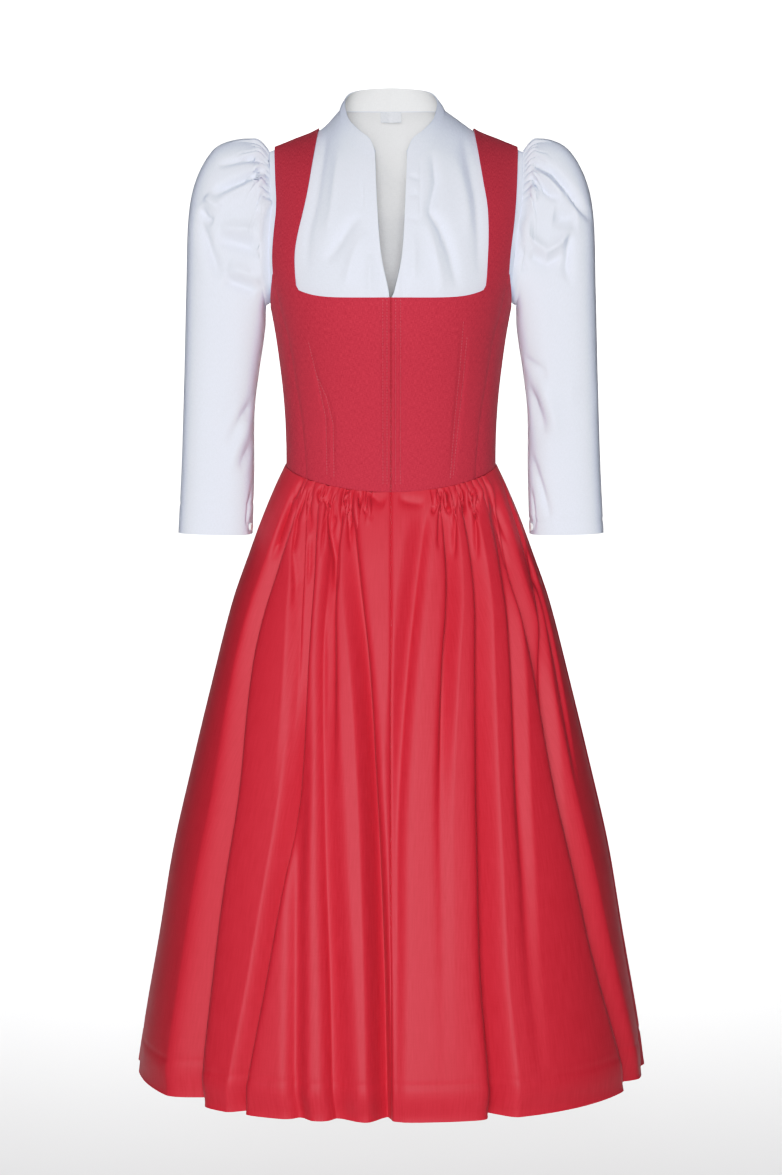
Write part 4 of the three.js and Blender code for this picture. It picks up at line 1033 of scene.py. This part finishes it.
def gather_lobes(waist, below):
    """How far the gathers stand out, by where they start at the waist and how far below it they are."""
    valleys = np.array(GATHERS)
    which = np.clip(np.searchsorted(valleys, waist, side="right") - 1, 0, len(valleys) - 2)
    start, end = valleys[which], valleys[which + 1]
    share = np.clip((waist - start) / (end - start), 0, 1)
    lobe = (4 * share * (1 - share)) ** 0.55
    size = np.where(end - start < 10, 0.85 + 0.3 * np.sin(which * 2.7), 0)
    run = GATHER["end"] * (0.8 + 0.35 * np.sin(which * 4.3 + 0.5))
    grows = 0.35 + 0.65 * ease(below, 0, GATHER["full"])
    return GATHER["deep"] * size * (lobe - 0.45) * grows * (1 - ease(below, 0.014, run))


def skirt_panel(panel, rows):
    """Points of a panel from the waist seam down to the hem."""
    at_waist, at_hem, columns = panel
    steps = [np.linspace(0, 1, number, endpoint=False) for number in columns]
    waist, hem = (
        np.append(np.concatenate([mix(ends[i], ends[i + 1], steps[i]) for i in range(3)]), ends[-1])
        for ends in (at_waist, at_hem)
    )
    upper, hem_rows = rows
    down = HEM_START * np.linspace(0, 1, upper, endpoint=False) ** 1.45
    down = np.append(down, np.linspace(HEM_START, 1, hem_rows + 1))[:, None]
    turn = mix(waist, hem, ease(down, 0, 0.8))
    way = np.radians(turn)
    reach = rounded(way, SQUARENESS)
    before, behind = read(SKIRT, "down", down, "front"), read(SKIRT, "down", down, "back")
    deep = np.where(np.abs(turn) < 90, before, behind)
    x = read(SKIRT, "down", down, "half") * reach * np.sin(way)
    y = -deep * reach * np.cos(way)
    z = mix(waist_height(turn) - SEAM_GAP / 2, HEM_HEIGHT, down)
    radius = np.hypot(x, y)
    below = waist_height(turn) - z
    inwards, onwards = (amount * ease(below, 0, 0.05) for amount in folded(turn, z, radius))
    to_seam = np.radians(np.minimum(np.abs(turn - turn[:, :1]), np.abs(turn - turn[:, -1:]))) * radius
    onwards = onwards * ease(to_seam, 0, 0.012)
    seam = SKIRT_SEAM["deep"] * np.exp(-to_seam / SKIRT_SEAM["wide"])
    hem_line = HEM_GROOVE["deep"] * np.exp(-(((z - HEM_HEIGHT - HEM_DEEP) / HEM_GROOVE["wide"]) ** 2))
    tuck = HEM_TUCK * np.abs(np.cos(way)) * ease(z, HEM_HEIGHT + HEM_DEEP, HEM_HEIGHT) ** 1.5
    grown = (radius + gather_lobes(waist, below) - inwards - seam - hem_line - tuck) / radius
    edge = np.zeros(len(waist))
    edge[0], edge[-1] = np.sign(waist[-1] - waist[0]), -np.sign(waist[-1] - waist[0])
    round_by = (onwards + edge * SEAM_GAP / 2) / radius
    return np.stack([(x - y * round_by) * grown, (y + x * round_by) * grown, z], -1)


for name, panel in PANELS.items():
    part_name, side = name.rsplit("_", 1)
    form = skirt_panel(panel, rows=(118, 20))
    if part_name == "skirt_front":
        form = creased(form, SKIRT_CREASES, (0, 0, -0.7))
    piece = shell(f"{part_name}_sateen_{side}", form, SKIRT_CLOTH, sateen)
    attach(piece, "root")
    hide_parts(name)


# Cuff buttons
# A small round button of white polyester resin closes the slit of each cuff, to which it is sewn. Its
# mesh is the solid's own, and only its finish is made here.

# Polyester resin, cast and polished: a glossy white, faintly cloudy.
resin = cloudy(
    "polyester_resin_white",
    ("#E9E7E2", "#F6F4F0"),
    size=0.0038,
    gloss={"Roughness": 0.25, "IOR": 1.54},
)
for side in ("left", "right"):
    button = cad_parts[f"cuff_button_{side}"]
    button.data.materials.clear()
    button.data.materials.append(resin)


# Floor and light
# A pale floor that curves up into a plain backdrop. A large soft lamp stands above the camera and a
# small one at it, and a lamp overhead lights the backdrop.
SWEEP = {"floor": -1.42, "front": -2.2, "foot": 2.4, "curve": 1.6, "top": 2.2, "half": 1.45}
turns = np.linspace(0, np.pi / 2, 25)
line = [(SWEEP["front"], SWEEP["floor"])]
line += [
    (SWEEP["foot"] + SWEEP["curve"] * np.sin(turn), SWEEP["floor"] + SWEEP["curve"] * (1 - np.cos(turn)))
    for turn in turns
]
line += [(SWEEP["foot"] + SWEEP["curve"], SWEEP["top"])]
points = [(across, y, z) for y, z in line for across in (-SWEEP["half"], SWEEP["half"])]
faces = [(2 * i, 2 * i + 1, 2 * i + 3, 2 * i + 2) for i in range(len(line) - 1)]

# Matt studio paint, rolled on: an even, pale grey without gloss.
floor_paint = emptied(bpy.data.materials.new("matt_studio_paint"))
pale = {"Base Color": colour("#E6E6E6"), "Roughness": 0.8}
paint = add_node(floor_paint, "BsdfPrincipled", pale).outputs["BSDF"]
# The sweep is painted on its front only, so that the dress can be looked at from behind it.
behind = add_node(floor_paint, "NewGeometry", {}).outputs["Backfacing"]
clear = add_node(floor_paint, "BsdfTransparent", {}).outputs["BSDF"]
one_sided = add_node(floor_paint, "MixShader", {0: behind, 1: paint, 2: clear})
add_node(floor_paint, "OutputMaterial", {"Surface": one_sided.outputs["Shader"]})
floor = surface("floor", points, faces, floor_paint)

# The room is dim, and dark at the sides of the dress, which models its folds.
ROOM_BRIGHTNESS = 0.08
studio = emptied(bpy.data.worlds.new("studio"))
direction = add_node(studio, "TexCoord", {}).outputs["Generated"]
sideways = add_node(studio, "SeparateXYZ", {"Vector": direction}).outputs["X"]
squared = add_node(studio, "Math", {0: sideways, 1: sideways}, operation="MULTIPLY").outputs[0]
left_over = add_node(studio, "Math", {0: 1.0, 1: squared}, operation="SUBTRACT").outputs[0]
open_side = add_node(studio, "Math", {0: left_over, 1: 2.0}, operation="POWER").outputs[0]
dimmed = {0: open_side, 1: ROOM_BRIGHTNESS}
strength = add_node(studio, "Math", dimmed, operation="MULTIPLY").outputs[0]
dim = add_node(studio, "Background", {"Color": colour("#F6F8FC"), "Strength": strength})
# The camera sees a white wall past the sweep.
wall = add_node(studio, "Background", {"Color": colour("#FFFFFF"), "Strength": 1.7})
seen_directly = add_node(studio, "LightPath", {}).outputs["Is Camera Ray"]
both = {1: dim.outputs["Background"], 2: wall.outputs["Background"]}
room = add_node(studio, "MixShader", {0: seen_directly, **both})
add_node(studio, "OutputWorld", {"Surface": room.outputs["Shader"]})
bpy.context.scene.world = studio

# The picture's tones: bright cloth is held back below the white of the backdrop, as on a photograph.
TONES = {"scene": (0.3, 0.55, 0.8, 1.0, 1.3, 1.6), "shown": (0.28, 0.52, 0.695, 0.775, 0.88, 1.0)}
view = bpy.context.scene.view_settings
view.view_transform = "Standard"
view.use_curve_mapping = True
view.curve_mapping.white_level = (TONES["scene"][-1],) * 3
tone_curve = view.curve_mapping.curves[3]
for seen, shown in zip(TONES["scene"][:-1], TONES["shown"][:-1]):
    tone_curve.points.new(seen / TONES["scene"][-1], shown)
view.curve_mapping.update()

# Each lamp's place, the point it faces, its width, its spread in degrees, power and colour.
LIGHTS = {
    "key": ((-0.3, -3.1, 0.1), (0, 0, -0.45), 1.4, 80, 19, "#F4F7FF"),
    "fill": ((0.0, -3.1, -0.24), (0, 0, -0.4), 0.3, 180, 49, "#F4F7FF"),
    "backdrop": ((0, 1.0, 2.4), (0, 4.0, 1.37), 2.0, 180, 520, "#FFFFFF"),
}
for name, (place, aim, wide, spread, power, tint) in LIGHTS.items():
    lamp_data = bpy.data.lights.new(name, "AREA")
    lamp_data.size = wide
    lamp_data.energy = power
    lamp_data.spread = np.radians(spread)
    lamp_data.color = colour(tint)[:3]
    lamp = bpy.data.objects.new(name, lamp_data)
    bpy.context.scene.collection.objects.link(lamp)
    lamp.location = place
    lamp.rotation_euler = (Vector(aim) - lamp.location).to_track_quat("-Z", "Y").to_euler()
